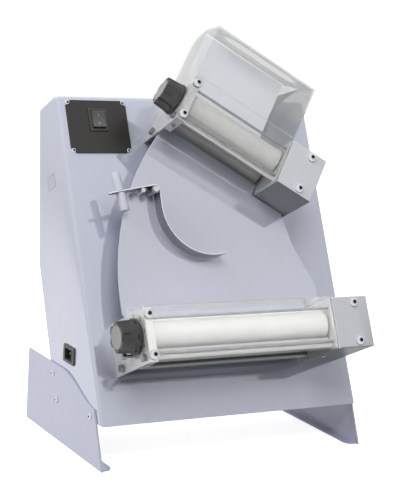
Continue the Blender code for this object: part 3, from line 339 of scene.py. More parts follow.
def smoothed(mesh, sharp):
    mesh.polygons.foreach_set("use_smooth", np.ones(len(mesh.polygons), bool))
    mesh.set_sharp_from_angle(angle=math.radians(sharp))


def addPiece(name, points, faces, material, body, place, slot=None, replaced=(), sharp=35, extra=None):
    # a mesh piece from arrays of points and faces, moved to its place in the mesh itself
    turn = np.array(place)
    points = np.asarray(points, float).reshape(-1, 3) @ turn[:3, :3].T + turn[:3, 3]
    mesh = bpy.data.meshes.new(name)
    mesh.from_pydata(points.tolist(), [], [list(face) for face in faces])
    smoothed(mesh, sharp)
    showPiece(name, mesh, material, body, replaced)
    if extra:       # a second material on the faces that the mask marks
        mesh.materials.append(materials[extra[0]])
        mesh.polygons.foreach_set("material_index", np.asarray(extra[1], int))
    mesh.update()


def reshaped(source, target, work):
    # works on the source mesh as a bmesh and writes it to the target mesh
    shape = bmesh.new()
    shape.from_mesh(source)
    work(shape)
    shape.to_mesh(target)
    shape.free()


def gridFaces(rows, columns, closed=True):
    # four-sided faces of a grid of points stored row by row; closed joins the last column to the first
    row, column = np.meshgrid(np.arange(rows - 1), np.arange(columns if closed else columns - 1), indexing="ij")
    right = (column + 1) % columns
    return np.stack([row * columns + column, row * columns + right, (row + 1) * columns + right,
                     (row + 1) * columns + column], -1).reshape(-1, 4)


def roundedProfile(points, radii, steps=4):
    # a line through the points with its corners rounded: each corner becomes a quadratic curve between
    # two points that lie the radius before and after it
    points = np.asarray(points, float)
    radii = np.broadcast_to(radii, (len(points),)).astype(float)
    t = np.linspace(0, 1, steps + 1)[:, None]
    parts = [points[:1]]
    for before, corner, after, radius in zip(points[:-2], points[1:-1], points[2:], radii[1:-1]):
        if radius <= 0:
            parts.append(corner[None])
            continue
        into, out = before - corner, after - corner
        start = corner + into * min(radius / np.linalg.norm(into), 0.5)
        end = corner + out * min(radius / np.linalg.norm(out), 0.5)
        parts.append((1 - t) ** 2 * start + 2 * t * (1 - t) * corner + t ** 2 * end)
    line = np.concatenate([*parts, points[-1:]])
    return line[np.append(True, np.linalg.norm(np.diff(line, axis=0), axis=1) > 0.000001)]


def axisProfile(corners, radii, steps=4):
    # the profile of a turned piece whose first and last corner lie on the axis. Those two only guide the
    # rounding: the fans of closeGrid close the ends
    return roundedProfile(corners, radii, steps)[1:-1]


def turnedGrid(profile, columns, radiusOf=None):
    # points of a profile of (along, radius) turned about X: y is radius times cosine, z radius times sine
    angle = np.linspace(0, 2 * math.pi, columns, endpoint=False)
    along = np.repeat(profile[:, :1], columns, 1)
    radius = np.repeat(profile[:, 1:], columns, 1)
    if radiusOf is not None:
        radius = radiusOf(along, radius, angle[None, :])
    return np.stack([along, radius * np.cos(angle), radius * np.sin(angle)], -1)


def closeGrid(grid):
    # grid points and faces with a fan on the first and last row round their middles, wound with the grid
    rows, columns = grid.shape[:2]
    points = np.vstack([grid.reshape(-1, 3), grid[0].mean(0), grid[-1].mean(0)])
    ring = np.arange(columns)
    after = (ring + 1) % columns
    base = (rows - 1) * columns
    firstFan = np.stack([np.full(columns, rows * columns), after, ring], -1)
    lastFan = np.stack([np.full(columns, rows * columns + 1), base + ring, base + after], -1)
    return points, [*gridFaces(rows, columns).tolist(), *firstFan.tolist(), *lastFan.tolist()]


def closedPiece(name, grid, material, body, place, **more):
    # a grid whose columns go round, closed with a fan at each end
    addPiece(name, *closeGrid(grid), material, body, place, **more)


def loopPiece(name, grid, material, body, place, **more):
    # the last row joins the first, so the rows go round a tube or a frame
    rows, columns = grid.shape[:2]
    faces = gridFaces(rows + 1, columns) % (rows * columns)
    addPiece(name, grid, faces, material, body, place, **more)


def turnedPiece(name, profile, material, body, place, columns=64, radiusOf=None, **more):
    # a piece turned about local X. A profile that runs towards -X is turned round first, so that the faces
    # point outwards
    profile = profile if profile[-1, 0] > profile[0, 0] else profile[::-1]
    closedPiece(name, turnedGrid(profile, columns, radiusOf), material, body, place, **more)


def roundedRectangle(halfWide, halfHigh, radius, steps=5):
    # a closed outline, counter-clockwise: four quarter circles joined by straight sides
    angle = np.linspace(0, math.pi / 2, steps + 1)
    corner = np.stack([np.cos(angle), np.sin(angle)], -1) * radius
    outline = []
    for quarter, (sideX, sideY) in enumerate(((1, 1), (-1, 1), (-1, -1), (1, -1))):
        turn = quarter * math.pi / 2
        turned = corner @ np.array([[math.cos(turn), math.sin(turn)], [-math.sin(turn), math.cos(turn)]])
        outline.append(turned + [sideX * (halfWide - radius), sideY * (halfHigh - radius)])
    return np.concatenate(outline)


def stackedPiece(name, sections, material, body, place, **more):
    # rounded rectangles (half width, half height, corner radius, depth) joined one after another.
    # Depth runs along local -Y, out of the sheet that the piece sits on; x is across and z up
    rows = []
    for halfWide, halfHigh, radius, depth in sections:
        outline = roundedRectangle(halfWide, halfHigh, radius)
        rows.append(np.stack([outline[:, 0], np.full(len(outline), -depth), outline[:, 1]], -1))
    closedPiece(name, np.array(rows), material, body, place, **more)


softening = {
    # doubled points are merged, flat areas joined; a panel is wider than a sheet's cut edge
    "merge": 0.000002, "flat": math.radians(0.4), "panel": 0.0036, "fold": 0.6, "sharp": 32, "foldSteps": 5,
}


def isPanel(face):
    # twice the area over the outline's length is the width of a long narrow face
    return 2 * face.calc_area() / sum(edge.calc_length() for edge in face.edges) > softening["panel"]


def foldEdges(shape, convex):
    return [edge for edge in shape.edges
            if len(edge.link_faces) == 2 and edge.calc_face_angle(0) > softening["fold"]
            and edge.is_convex == convex and all(isPanel(face) for face in edge.link_faces)]


def bodyOf(node):
    for body, members in frame["record"]["behaviour"]["bodies"].items():
        if node in members:
            return body
    return "frame"


def softened(node, material, width=0.0004, folds=None):
    # a copy of a CAD node with slightly rounded edges; folds gives the outer and inner radius of a
    # sheet's bends
    def work(shape):
        bmesh.ops.remove_doubles(shape, verts=shape.verts, dist=softening["merge"])
        bmesh.ops.dissolve_limit(shape, angle_limit=softening["flat"], verts=shape.verts, edges=shape.edges)
        for convex, radius in zip((True, False), folds or ()):
            bmesh.ops.bevel(shape, geom=foldEdges(shape, convex), offset=radius, offset_type="OFFSET",
                            segments=softening["foldSteps"], profile=0.5, affect="EDGES", clamp_overlap=True)

    mesh = bpy.data.meshes.new(node + "Soft")
    reshaped(nodes[node].data, mesh, work)
    smoothed(mesh, softening["sharp"])
    made = showPiece(node + "Soft", mesh, material, bodyOf(node), (node,))
    adjust(made.modifiers.new("edge", "BEVEL"), width=width, segments=2, limit_method="ANGLE",
           angle_limit=math.radians(softening["sharp"]), harden_normals=True)
    return made


def keepNode(node, material):
    # the CAD node stays and takes a better material
    paint(nodes[node].data, material)


infeedSizes = {
    "earAt": (0.020, -0.057), "earTurn": math.radians(32), "wingCut": ((0.0, 0.1342), (0.0245, 0.1545)),
    "earFrom": 0.0006,
}


def infeedPlate():
    # the painted plate; the lower part of its flared ear is painted dark, as painted shade on a flap that faces away
    # from the lamps. A straight cut parts the ear, and the faces below it take the painted shade
    infeed = softened("infeed_plate", "infeedPaint", 0.0003)
    earFrame = spun(shifted(boxFrames["upper"], *infeedSizes["earAt"], 0), -infeedSizes["earTurn"], "Z")
    toEar = earFrame.inverted()
    first, second = (Vector((across, 0, up)) for across, up in infeedSizes["wingCut"])
    along = (second - first).normalized()
    normal = Vector((-along.z, 0, along.x))
    onEar = infeedSizes["earFrom"]

    def work(shape):
        faces = [face for face in shape.faces if (toEar @ face.calc_center_median()).x > onEar]
        edges = {edge for face in faces for edge in face.edges}
        points = {vert for face in faces for vert in face.verts}
        bmesh.ops.bisect_plane(shape, geom=[*faces, *edges, *points], dist=0.000001, plane_co=earFrame @ first,
                               plane_no=(earFrame.to_3x3() @ normal).normalized())
        for face in shape.faces:
            spot = toEar @ face.calc_center_median()
            face.material_index = int(spot.x > onEar and (spot - first).dot(normal) < 0)

    reshaped(infeed.data, infeed.data, work)
    infeed.data.materials.append(materials["paintedShadeSteel"])


sheets = (
    # material, edge rounding, slot, nodes
    ("housingPaint", 0.0004, "grey_paint", ("housing_shell", "rear_cover")),
    ("footPaint", 0.0006, "grey_paint", ("foot_left", "foot_right")),
    ("chutePaint", 0.0005, "grey_paint", ("chute_plate",)),
    ("caseSatin", 0.0004, "grey_paint", ("lower_gear_case", "upper_gear_case")),
    ("plateSteel", 0.0004, "steel_sheet", ("lower_left_plate", "upper_left_plate")),
    ("plateSteel", 0.0003, "steel_sheet", ("lower_wall_plate", "upper_wall_plate", "floor_plate")),
    ("signBlack", 0.0002, "sign_black", ("control_plate",)),
)


def sheetPieces():
    for material, width, slot, names in sheets:
        for node in names:
            made = softened(node, material, width)
            if material == "caseSatin":         # the cases' undersides take a darker copy of the finish, painted shade under the boxes
                under = -boxFrames[node.split("_")[0]].to_3x3().col[2]
                made.data.materials.append(materials["caseUnderShade"])
                for face in made.data.polygons:
                    face.material_index = int(face.normal.dot(under) > 0.9)
    infeedPlate()
    print("sheet metal done")


clearCover = {
    "edge": 0.0009, "hoodFolds": (0.0060, 0.0040), "guardFolds": (0.0016, 0.0004),
    "seamUp": (0.0404, 0.0425), "seamHalf": 0.0003, "seamInset": 0.001,
    "hemAt": (0.057, 0.1568), "hemRadius": 0.0017, "hemInset": 0.0025,
}


def clearCovers():
    # the cut edges gather light, so the rounding of each edge takes a brighter finish, a painted highlight
    for node, material, edge, folds in (("lower_guard", "clearGuard", "guardEdgeHighlight", clearCover["guardFolds"]),
                                        ("upper_hood", "clearHood", "clearEdge", clearCover["hoodFolds"])):
        cover = softened(node, material, clearCover["edge"], folds)
        cover.data.materials.append(materials[edge])
        cover.modifiers["edge"].material = 1
    # the infeed plate's hem, a thin rolled bead along its top edge, pale as a painted highlight line
    left, wall = boxEnds["upper"][:2]
    start, end = left + clearCover["hemInset"], infeedSizes["earAt"][0]
    radius = clearCover["hemRadius"]
    out, up = clearCover["hemAt"]
    profile = axisProfile([(start, 0), (start, radius), (end, radius), (end, 0)], 0.0004, 2)
    turnedPiece("infeedHem", profile, "hemPale", "frame", shifted(boxFrames["upper"], 0, -out, up), 24,
                slot="grey_paint")
    # two hairline beads along the hood's front, level with the top of the box: a small square carried across, in the
    # pale edge finish as painted highlight lines
    half = clearCover["seamHalf"]
    section = roundedRectangle(half, half, 0.0001, 2)
    ends = np.array([left, wall]) + np.array([1, -1]) * clearCover["seamInset"]
    for number, up in enumerate(clearCover["seamUp"], 1):
        grid = np.stack(np.broadcast_arrays(ends[:, None], section[:, 0] - boxSizes["depth"] - 0.0001,
                                            section[:, 1] + up), -1)
        closedPiece(f"hoodBead{number}", grid, "clearEdge", "frame", boxFrames["upper"], slot="clear_plastic")
    print("clear covers done")


rollerSizes = {
    "radius": 0.023, "shaft": 0.006, "play": 0.0025, "edge": 0.0012, "shaftEdge": 0.0004, "columns": 96,
    # how far each shaft starts inside the left plate and ends past the wall plate
    "shaftEnds": {"front": (0.0003, 0.017), "rear": (0.0, 0.034)},
}


def rollers(tag):
    left, wall = boxEnds[tag][:2]
    size = rollerSizes
    start = left + boxSizes["sheet"] + size["play"]
    end = wall - boxSizes["sheet"] - size["play"]
    radius, shaft, columns = size["radius"], size["shaft"], size["columns"]
    for which, (inside, past) in size["shaftEnds"].items():
        corners = [(left + inside, 0), (left + inside, shaft), (start, shaft), (start, radius),
                   (end, radius), (end, shaft), (wall + past, shaft), (wall + past, 0)]
        profile = axisProfile(corners, [0, size["shaftEdge"], 0, size["edge"], size["edge"], 0,
                                        size["shaftEdge"], 0])
        onShaft = profile[:, 1] < shaft + 0.0002
        bands = np.concatenate([np.repeat(onShaft[:-1] & onShaft[1:], columns), np.ones(2 * columns, bool)])
        turnedPiece(tag + which.capitalize() + "Roller", profile, "rollerPlastic", f"{tag}_{which}_roll",
                    shifted(boxFrames[tag], 0, *axes[which]), columns, slot="roller_plastic",
                    replaced=(f"{tag}_{which}_roller",), extra=("brightSteel", bands))


knobSizes = {
    "stand": 0.0034, "length": 0.029, "tip": 0.0230, "skirtTop": 0.0247, "skirt": 0.0260, "skirtLength": 0.004,
    "capSeat": 0.0175, "seatGap": 0.0003, "seatDeep": 0.0010, "columns": 240, "rowGap": 0.003,
    "scallops": 6, "scallopRadius": 0.0085, "scallopAt": 0.0270, "scallopTurn": math.radians(15),
    "runOut": 0.0040, "runFrom": 0.008, "runLength": 0.015, "blend": 0.0005,
}


def knobs(tag):
    size = knobSizes
    place = shifted(boxFrames[tag], 0, *axes["knob"])
    base = boxEnds[tag][0] - size["stand"]
    tip = base - size["length"]
    shoulder = base - size["skirtLength"]
    seat = size["capSeat"]

    def scalloped(along, radius, angle):
        # each scallop is a circle beside the knob, further out towards the skirt; a ray from the axis meets
        # it at d cos a - sqrt(r squared - d squared sin squared a), and the smaller of that and the body
        # counts, softened where they meet
        pitch = 2 * math.pi / size["scallops"]
        off = (angle - size["scallopTurn"] + pitch / 2) % pitch - pitch / 2
        rise = np.clip((along - tip - size["runFrom"]) / size["runLength"], 0, 1)
        at = size["scallopAt"] + size["runOut"] * rise ** 2
        inside = size["scallopRadius"] ** 2 - (at * np.sin(off)) ** 2
        reach = np.where(inside > 0, at * np.cos(off) - np.sqrt(np.maximum(inside, 0)), 1.0)
        both = -size["blend"] * np.logaddexp(-radius / size["blend"], -reach / size["blend"])
        return np.where((along < shoulder + 0.0002) & (radius > seat + 0.001), both, radius)

    floor = tip + size["seatDeep"]
    corners = [(floor, 0), (floor, seat + size["seatGap"]), (tip, seat + size["seatGap"]), (tip, size["tip"]),
               (shoulder, size["skirtTop"]), (shoulder + 0.0002, size["skirt"]), (base, size["skirt"]), (base, 0)]
    profile = roundedProfile(corners, [0, 0, 0.0003, 0.0018, 0.0012, 0.0008, 0.0006, 0], 5)
    # more rows along the grip, so that the scallops stay smooth
    lengths = np.linalg.norm(np.diff(profile, axis=0), axis=1)
    counts = np.where(profile[1:, 1] > 0.018, np.maximum(1, (lengths / size["rowGap"]).astype(int)), 1)
    rows = np.concatenate([[0.0], *(index + np.arange(1, count + 1) / count for index, count in enumerate(counts))])
    dense = np.stack([np.interp(rows, np.arange(len(profile)), profile[:, column]) for column in (0, 1)], -1)
    turnedPiece(tag + "Knob", dense[1:-1], "knobPlastic", tag + "_knob_set", place, size["columns"], scalloped,
                slot="knob_black", replaced=(tag + "_knob",), sharp=50)

    capCorners = [(tip + 0.0007, 0), (tip + 0.0007, seat), (tip - 0.0001, seat), (tip - 0.0001, seat - 0.0016),
                  (tip + 0.0001, seat - 0.0020), (tip + 0.0001, 0)]
    capProfile = axisProfile(capCorners, [0, 0.0002, 0.0003, 0.0002, 0.0002, 0], 3)
    turnedPiece(tag + "KnobCap", capProfile, "capGrey", tag + "_knob_set", place, 96, slot="knob_cap_grey",
                replaced=(tag + "_knob_cap",))


dialSizes = {
    "numberAt": 0.0291, "numberHigh": 0.0080, "bold": 0.0002, "thick": 0.00004, "angles": (0, 45, 87, 131, 172),
    "plateOut": 0.0009, "printLift": 0.00005,
}


def figurePiece(name, words, place):
    # a generic figure as a thin raised print: text made a mesh, then moved to its place
    size = dialSizes
    curve = adjust(bpy.data.curves.new(name, "FONT"), body=words, size=size["numberHigh"], align_x="CENTER",
                   align_y="CENTER", extrude=size["thick"], offset=size["bold"])
    holder = showObject(name + "Text", curve)
    graph = bpy.context.evaluated_depsgraph_get()
    mesh = bpy.data.meshes.new_from_object(holder.evaluated_get(graph))
    bpy.data.objects.remove(holder)

    def work(shape):
        bmesh.ops.remove_doubles(shape, verts=shape.verts, dist=0.000001)
        bmesh.ops.recalc_face_normals(shape, faces=shape.faces)

    reshaped(mesh, mesh, work)
    mesh.transform(place)
    showPiece(name, mesh, "markDark", "frame")


def dialPrint(tag):
    out = boxEnds[tag][0] - dialSizes["plateOut"] - dialSizes["printLift"]
    # seen from the left, the reader's right is the front and up is up the face
    reader = Matrix(((0, 0, -1, 0), (-1, 0, 0, 0), (0, 1, 0, 0), (0, 0, 0, 1)))
    place = shifted(boxFrames[tag], out, *axes["knob"]) @ reader
    for number, degrees in enumerate(dialSizes["angles"], 1):
        angle, reach = math.radians(degrees), dialSizes["numberAt"]
        spot = shifted(place, reach * math.sin(angle), reach * math.cos(angle), 0)
        figurePiece(f"{tag}DialFigure{number}", str(number), spot)
    keepNode(f"{tag}_dial_plate", "dialPrint")


screwSizes = {
    # the socket, its depth, the dome and the rim are shares of the head; the edge is in metres
    "socket": 0.40, "socketDeep": 0.62, "domeFrom": 0.52, "domePower": 3.2, "domeRim": 0.20, "rim": 0.06,
    "edge": 0.0001, "domeRows": 8, "columns": 48,
}


def domedScrew(name, place, headRadius, headHeight, shank=0.0025, length=0.008, replaced=(), finish="brightSteel"):
    # a button-head screw that points along local +X, its head's underside at x = 0: a dome whose height
    # falls as the root of one less a power of the radius, with a hexagonal socket, and a plain shank.
    # A hexagon's side lies at its inner radius over cos a from the middle
    size = screwSizes
    columns = size["columns"]
    angle = np.linspace(0, 2 * math.pi, columns, endpoint=False)
    hexagon = headRadius * size["socket"] / np.cos((angle + math.pi / 6) % (math.pi / 3) - math.pi / 6)
    share = np.linspace(size["domeFrom"], 1.0, size["domeRows"])
    bulge = np.append(np.sqrt(1 - (share[:-1] * 0.985) ** size["domePower"]), size["domeRim"])
    floor = -headHeight * (1 - size["socketDeep"])
    rows = [(floor, hexagon * 0.05), (floor, hexagon * 0.97), (-headHeight + size["edge"], hexagon),
            (-headHeight, hexagon + size["edge"]), *zip(-headHeight * bulge, headRadius * share),
            (-headHeight * size["rim"], headRadius), (0.0, headRadius * 0.985), (0.0, shank), (length, shank)]
    along = np.array([x for x, radius in rows])[:, None] + np.zeros(columns)
    radius = np.array([np.broadcast_to(radius, columns) for x, radius in rows])
    grid = np.stack([along, radius * np.cos(angle), radius * np.sin(angle)], -1)
    # the socket's floor and walls are painted near black as shade in the recess, and so is the fan that closes it
    dark = np.repeat(np.isin(np.arange(len(rows) + 1), (0, 1, len(rows) - 1)), columns)
    closedPiece(name, grid, finish, "frame", place, slot="bright_screws", replaced=replaced, sharp=40,
                extra=("socketShade", dark))


boxScrewSizes = {"fromLeft": 0.0067, "fromRight": 0.0255, "up": 0.0298, "gap": 0.0003, "head": (0.0072, 0.0045)}


def boxScrews(tag):
    left, wall, right = boxEnds[tag]
    size = boxScrewSizes
    out = boxSizes["depth"] + size["gap"]
    number = 0
    for across in (left + size["fromLeft"], right - size["fromRight"]):
        for up in (size["up"], -size["up"]):
            number += 1
            place = shifted(boxFrames[tag], across, -out, up) @ intoFace
            domedScrew(f"{tag}BoxScrew{number}", place, *size["head"], replaced=(f"{tag}_box_screw_{number}",))


footScrews = {
    "places": ((0.1805, 0.0988), (0.1615, 0.0618), (0.0350, 0.0710)), "out": 0.0033,
    "size": (0.0046, 0.0026, 0.002, 0.006),
}
plateScrews = {"middle": (-0.1606, 0.4632), "aside": 0.0461, "above": 0.0387, "size": (0.0040, 0.0022, 0.0015, 0.005)}


def smallScrews():
    outer = machine["width"] / 2 + footScrews["out"]
    for side, label in ((-1, "Left"), (1, "Right")):
        for number, (back, up) in enumerate(footScrews["places"], 1):
            place = spun(shifted(groundFrame, side * outer, back, up), (side + 1) / 2 * math.pi, "Z")
            domedScrew(f"foot{label}Screw{number}", place, *footScrews["size"])
    for number, (side, level) in enumerate(((-1, 1), (1, 1), (-1, -1), (1, -1)), 1):
        across = plateScrews["middle"][0] + side * plateScrews["aside"]
        up = plateScrews["middle"][1] + level * plateScrews["above"]
        domedScrew(f"plateScrew{number}", shifted(faceFrame, across, 0, up) @ intoFace, *plateScrews["size"])
    print("small screws done")


leverSizes = {
    "pivot": (-0.1143, 0.3395), "bladeCentre": (-0.0310, 0.3125), "bladeEnd": math.radians(286),
    "sheet": 0.002, "low": 0.0490, "high": 0.0710, "wrap": 0.0070, "edgeRound": 0.0005, "highlightEdge": 0.00035,
    "slope": math.radians(8), "armLength": 0.0735,
    "taper": ((0.0, 0.0110), (0.030, 0.0100), (0.055, 0.0075), (0.0685, 0.0050)),
    "hub": 0.0061, "hubBore": 0.0033, "hubPlay": 0.0002,
    "handleRadius": 0.0069, "handleLength": 0.0598, "handleAt": 0.0538, "neck": 0.0029, "play": 0.0003,
    "postFoot": 0.0476, "pivotStem": 0.0030, "pivotRim": 0.0046,
    "stopAt": 0.0199, "stopRadius": 0.0035, "stopHigh": 0.0705,
}


def leverPath():
    # the middle line of the strip, seen from the front: straight along the arm from its free end, round the
    # pivot, straight down, and along the blade's arc; with each point its normal and its half width. The free
    # end is rounded off as a quarter of an ellipse
    size = leverSizes
    pivot, centre = np.array(size["pivot"]), np.array(size["bladeCentre"])
    slope, wrap, length = size["slope"], size["wrap"], size["armLength"]
    away = np.array([-math.cos(slope), -math.sin(slope)])
    nose, end = size["taper"][-1]
    reach = np.concatenate([length - (length - nose) * (1 - np.cos(np.linspace(0.12, math.pi / 2, 9)[:-1])),
                            np.linspace(nose, 0.002, 16)])
    rounding = np.sqrt(np.maximum(0.0, 1 - ((reach - nose) / (length - nose)) ** 2))
    wide = np.where(reach > nose, end * rounding, np.interp(reach, *np.array(size["taper"]).T))
    arm = pivot + wrap * np.array([away[1], -away[0]]) + reach[:, None] * away
    bend = np.linspace(math.pi / 2 + slope, 0, 16)
    turn = np.linspace(math.pi, size["bladeEnd"], 64)
    radius = centre[0] - pivot[0] - wrap
    line = np.concatenate([arm, pivot + wrap * np.stack([np.cos(bend), np.sin(bend)], -1),
                           centre + radius * np.stack([np.cos(turn), np.sin(turn)], -1)])
    wide = np.append(wide, np.full(len(line) - len(arm), (size["high"] - size["low"]) / 2))
    step = np.gradient(line, axis=0)
    step /= np.linalg.norm(step, axis=1)[:, None]
    return line, np.stack([-step[:, 1], step[:, 0]], -1), wide


def leverBlade():
    # a rectangle with rounded corners carried along the path; it stands on edge, its width off the face
    size = leverSizes
    line, normal, wide = leverPath()
    low, high = size["low"], size["high"]
    section = roundedRectangle(size["sheet"] / 2, 1.0, size["edgeRound"], 3)
    side = np.sign(section[:, 1])
    corner = side * (1 - np.abs(section[:, 1]))     # how far a point is inside the strip's edge
    out = side * wide[:, None] - corner + (low + high) / 2
    middle = line[:, :, None] + normal[:, :, None] * section[:, 0]
    grid = np.stack([middle[:, 0], -out, middle[:, 1]], -1)
    # the faces along the strip's rounded edges take the pale finish, a painted highlight
    onEdge = np.abs(corner) < size["highlightEdge"]
    pale = np.append(np.tile(onEdge & np.roll(onEdge, -1), len(line) - 1), np.zeros(2 * len(section), bool))
    closedPiece("leverBlade", grid, "bladeSteel", "lever", faceFrame, slot="steel_sheet",
                replaced=("lever_blade",), sharp=50, extra=("hemPale", pale))
    # the hub: a short tube between the strip's edges, its profile a closed loop
    across, up = size["pivot"]
    high, low, bore = high - size["hubPlay"], low + size["hubPlay"], size["hubBore"]
    hub = roundedProfile([(-high, bore), (-high, size["hub"]), (-low, size["hub"]), (-low, bore)],
                         [0, 0.0005, 0.0005, 0])
    loopPiece("leverHub", turnedGrid(hub, 64), "bladeSteel", "lever", shifted(faceFrame, across, 0, up) @ intoFace,
              slot="steel_sheet")


def leverPosts():
    # the grip in two halves on a thin neck through the arm, then the pivot and the stop post on the face
    size = leverSizes
    across, up = size["pivot"]
    slope, wrap, at, play = size["slope"], size["wrap"], size["handleAt"], size["play"]
    sine, cosine = math.sin(slope), math.cos(slope)
    half, radius, neck = size["handleLength"] / 2, size["handleRadius"], size["neck"]
    place = shifted(faceFrame, across - wrap * sine - at * cosine, -(size["low"] + size["high"]) / 2,
                    up + wrap * cosine - at * sine)
    near = size["sheet"] / 2 + play
    corners = [(-half, 0), (-half, radius), (-near, radius), (-near, neck), (near, neck), (near, radius),
               (half, radius), (half, 0)]
    profile = axisProfile(corners, [0, 0.0016, 0.0006, 0, 0, 0.0006, 0.0016, 0], 6)
    turnedPiece("leverHandle", profile, "handlePale", "lever", spun(place, -slope - math.pi / 2, "Y"),
                slot="handle_white", replaced=("lever_handle",))
    # the pivot's stem and its dished head
    top, foot, stem, rim = size["high"] + play, size["postFoot"], size["pivotStem"], size["pivotRim"]
    corners = [(-top - 0.0016, 0), (-top - 0.0016, 0.0018), (-top - 0.0024, 0.0022), (-top - 0.0024, rim - 0.0002),
               (-top, rim), (-top, stem), (-foot, stem), (-foot, 0)]
    pivot = axisProfile(corners, [0, 0.0003, 0.0003, 0.0008, 0.0002, 0, 0.0002, 0])
    # the stop post under the arm
    high, radius = size["stopHigh"], size["stopRadius"]
    corners = [(-high, 0), (-high, radius - 0.0003), (-high + 0.0005, radius), (-high + 0.0030, radius),
               (-high + 0.0033, radius - 0.0004), (-foot, radius - 0.0004), (-foot, 0)]
    stop = axisProfile(corners, [0, 0.0006, 0.0003, 0.0002, 0.0002, 0.0002, 0])
    stopUp = (up + wrap * cosine - (size["stopAt"] - wrap * sine) * math.tan(slope)
              - (size["sheet"] / 2 + play + radius) / cosine)
    for label, profile, x, z in (("Pivot", pivot, across, up), ("Stop", stop, across - size["stopAt"], stopUp)):
        turnedPiece("lever" + label, profile, "brightSteel", "frame", shifted(faceFrame, x, 0, z) @ intoFace, 56,
                    slot="steel_sheet", replaced=("lever_" + label.lower(),))
    print("lever done")


switchSizes = {
    "middle": (-0.1596, 0.4735), "half": (0.0152, 0.0185), "well": (0.0108, 0.0144), "front": 0.0021, "back": -0.024,
    "rockerHalf": (0.0105, 0.0132), "rockerFront": 0.0058, "saddle": 0.0022, "rockerBack": 0.0030,
    "mark": 0.0045, "markUp": 0.0066, "markHalf": 0.00035, "ring": (0.0013, 0.0019), "markLift": (0.00002, 0.00006),
}


def powerSwitch():
    size = switchSizes
    across, up = size["middle"]
    place = shifted(faceFrame, across, 0, up)
    front = size["front"]
    wide, high = size["half"]
    wellWide, wellHigh = size["well"]
    sections = [(wide - 0.003, high - 0.003, 0.001, size["back"]), (wide - 0.003, high - 0.003, 0.001, front - 0.0002),
                (wide, high, 0.0012, front - 0.0002), (wide, high, 0.0012, front + 0.0012),
                (wide - 0.0007, high - 0.0007, 0.0012, front + 0.0020),
                (wellWide + 0.0004, wellHigh + 0.0004, 0.0008, front + 0.0020),
                (wellWide, wellHigh, 0.0006, front + 0.0014), (wellWide, wellHigh, 0.0006, -0.0095)]
    stackedPiece("switchFrame", sections, "switchBlack", "frame", place, slot="switch_black",
                 replaced=("switch_bezel",))
    # the rocker: a shallow saddle, its height the square of the way up, highest at its two ends and eased at
    # its edges, on a rounded block
    halfWide, halfHigh = size["rockerHalf"]
    deep = size["rockerFront"]
    t = np.linspace(-1, 1, 25)[:, None]
    s = np.concatenate([[-1, -1], np.linspace(-1, 1, 9), [1, 1]])
    drop = np.concatenate([[deep, 0.0006, 0.0002], np.zeros(7), [0.0002, 0.0006, deep]])
    out = deep + size["saddle"] * t ** 2 - drop - 0.0012 * np.maximum(0, np.abs(t) - 0.93) / 0.07
    grid = np.stack(np.broadcast_arrays(halfWide * s, -out, halfHigh * t), -1)
    columns = len(s)
    row = np.linspace(-halfWide, halfWide, columns)
    bottom, top = (np.stack(np.broadcast_arrays(row, size["rockerBack"], side * halfHigh * 0.82), -1)[None]
                   for side in (-1, 1))
    grid = np.concatenate([bottom, grid, top, bottom])
    left = np.arange(len(grid) - 1) * columns
    faces = [*gridFaces(len(grid), columns, closed=False).tolist(), left.tolist(), (left + columns - 1)[::-1].tolist()]
    addPiece("rockerButton", grid, faces, "rockerGrey", "rocker", place, "rocker_grey", ("rocker_button",), 40)

    def laid(x, z, lift):       # points on the rocker's slope
        lay = deep + size["saddle"] * (z / halfHigh) ** 2 + lift
        return np.stack([x, -lay, z], -1)

    # a bar for on and a ring for off
    strip = roundedRectangle(size["markHalf"], size["mark"] / 2, 0.0002, 2)
    bar = np.array([laid(strip[:, 0], strip[:, 1] + size["markUp"], lift) for lift in size["markLift"]])
    closedPiece("onMark", bar, "markPale", "rocker", place, slot="rocker_grey")
    turn = np.linspace(0, 2 * math.pi, 32, endpoint=False)
    (inner, outer), (low, top) = size["ring"], size["markLift"]
    rings = np.array([laid(radius * np.cos(turn), radius * np.sin(turn) - size["markUp"], lift)
                      for radius, lift in ((inner, low), (outer, low), (outer, top), (inner, top))])
    loopPiece("offMark", rings, "markPale", "rocker", place, slot="rocker_grey")
    print("switch done")


inletSizes = {
    "at": (0.1257, 0.1423), "half": (0.0197, 0.0135), "well": (0.0120, 0.0085), "back": -0.025, "floor": -0.0145,
    "pins": (-0.007, 0.0, 0.007), "middlePinUp": 0.003,
}


def powerInlet():
    size = inletSizes
    # local -Y points out of the left side
    place = spun(shifted(groundFrame, -machine["width"] / 2, *size["at"]), -math.pi / 2, "Z")
    wide, high = size["half"]
    wellWide, wellHigh = size["well"]
    sections = [(wide - 0.0025, high - 0.0025, 0.001, size["back"]), (wide - 0.0025, high - 0.0025, 0.001, 0.0003),
                (wide, high, 0.0022, 0.0003), (wide, high, 0.0022, 0.0020),
                (wide - 0.0008, high - 0.0008, 0.0020, 0.0028),
                (wellWide + 0.0018, wellHigh + 0.0018, 0.0020, 0.0028),
                (wellWide + 0.0014, wellHigh + 0.0014, 0.0018, 0.0034),
                (wellWide + 0.0003, wellHigh + 0.0003, 0.0014, 0.0034), (wellWide, wellHigh, 0.0012, 0.0030),
                (wellWide, wellHigh, 0.0012, size["floor"])]
    stackedPiece("inletBody", sections, "switchBlack", "frame", place, slot="switch_black",
                 replaced=("power_inlet",))
    pin = [(0.0009, 0.0019, 0.0003, size["floor"] + 0.0003), (0.0009, 0.0019, 0.0003, -0.0030),
           (0.0006, 0.0014, 0.0003, -0.0022)]
    for number, across in enumerate(size["pins"], 1):
        up = 0.0 if across else size["middlePinUp"]
        stackedPiece(f"inletPin{number}", pin, "pinBrass", "frame", shifted(place, across, 0, up),
                     slot="switch_black")
    print("inlet done")


labelSizes = {
    "corners": ((0.2343, 0.3770), (0.2080, 0.3886), (0.2176, 0.4076), (0.2437, 0.3952)), "lineShare": 0.05714286,
    "under": 0.00004, "film": 0.00008, "border": 0.00012,
}


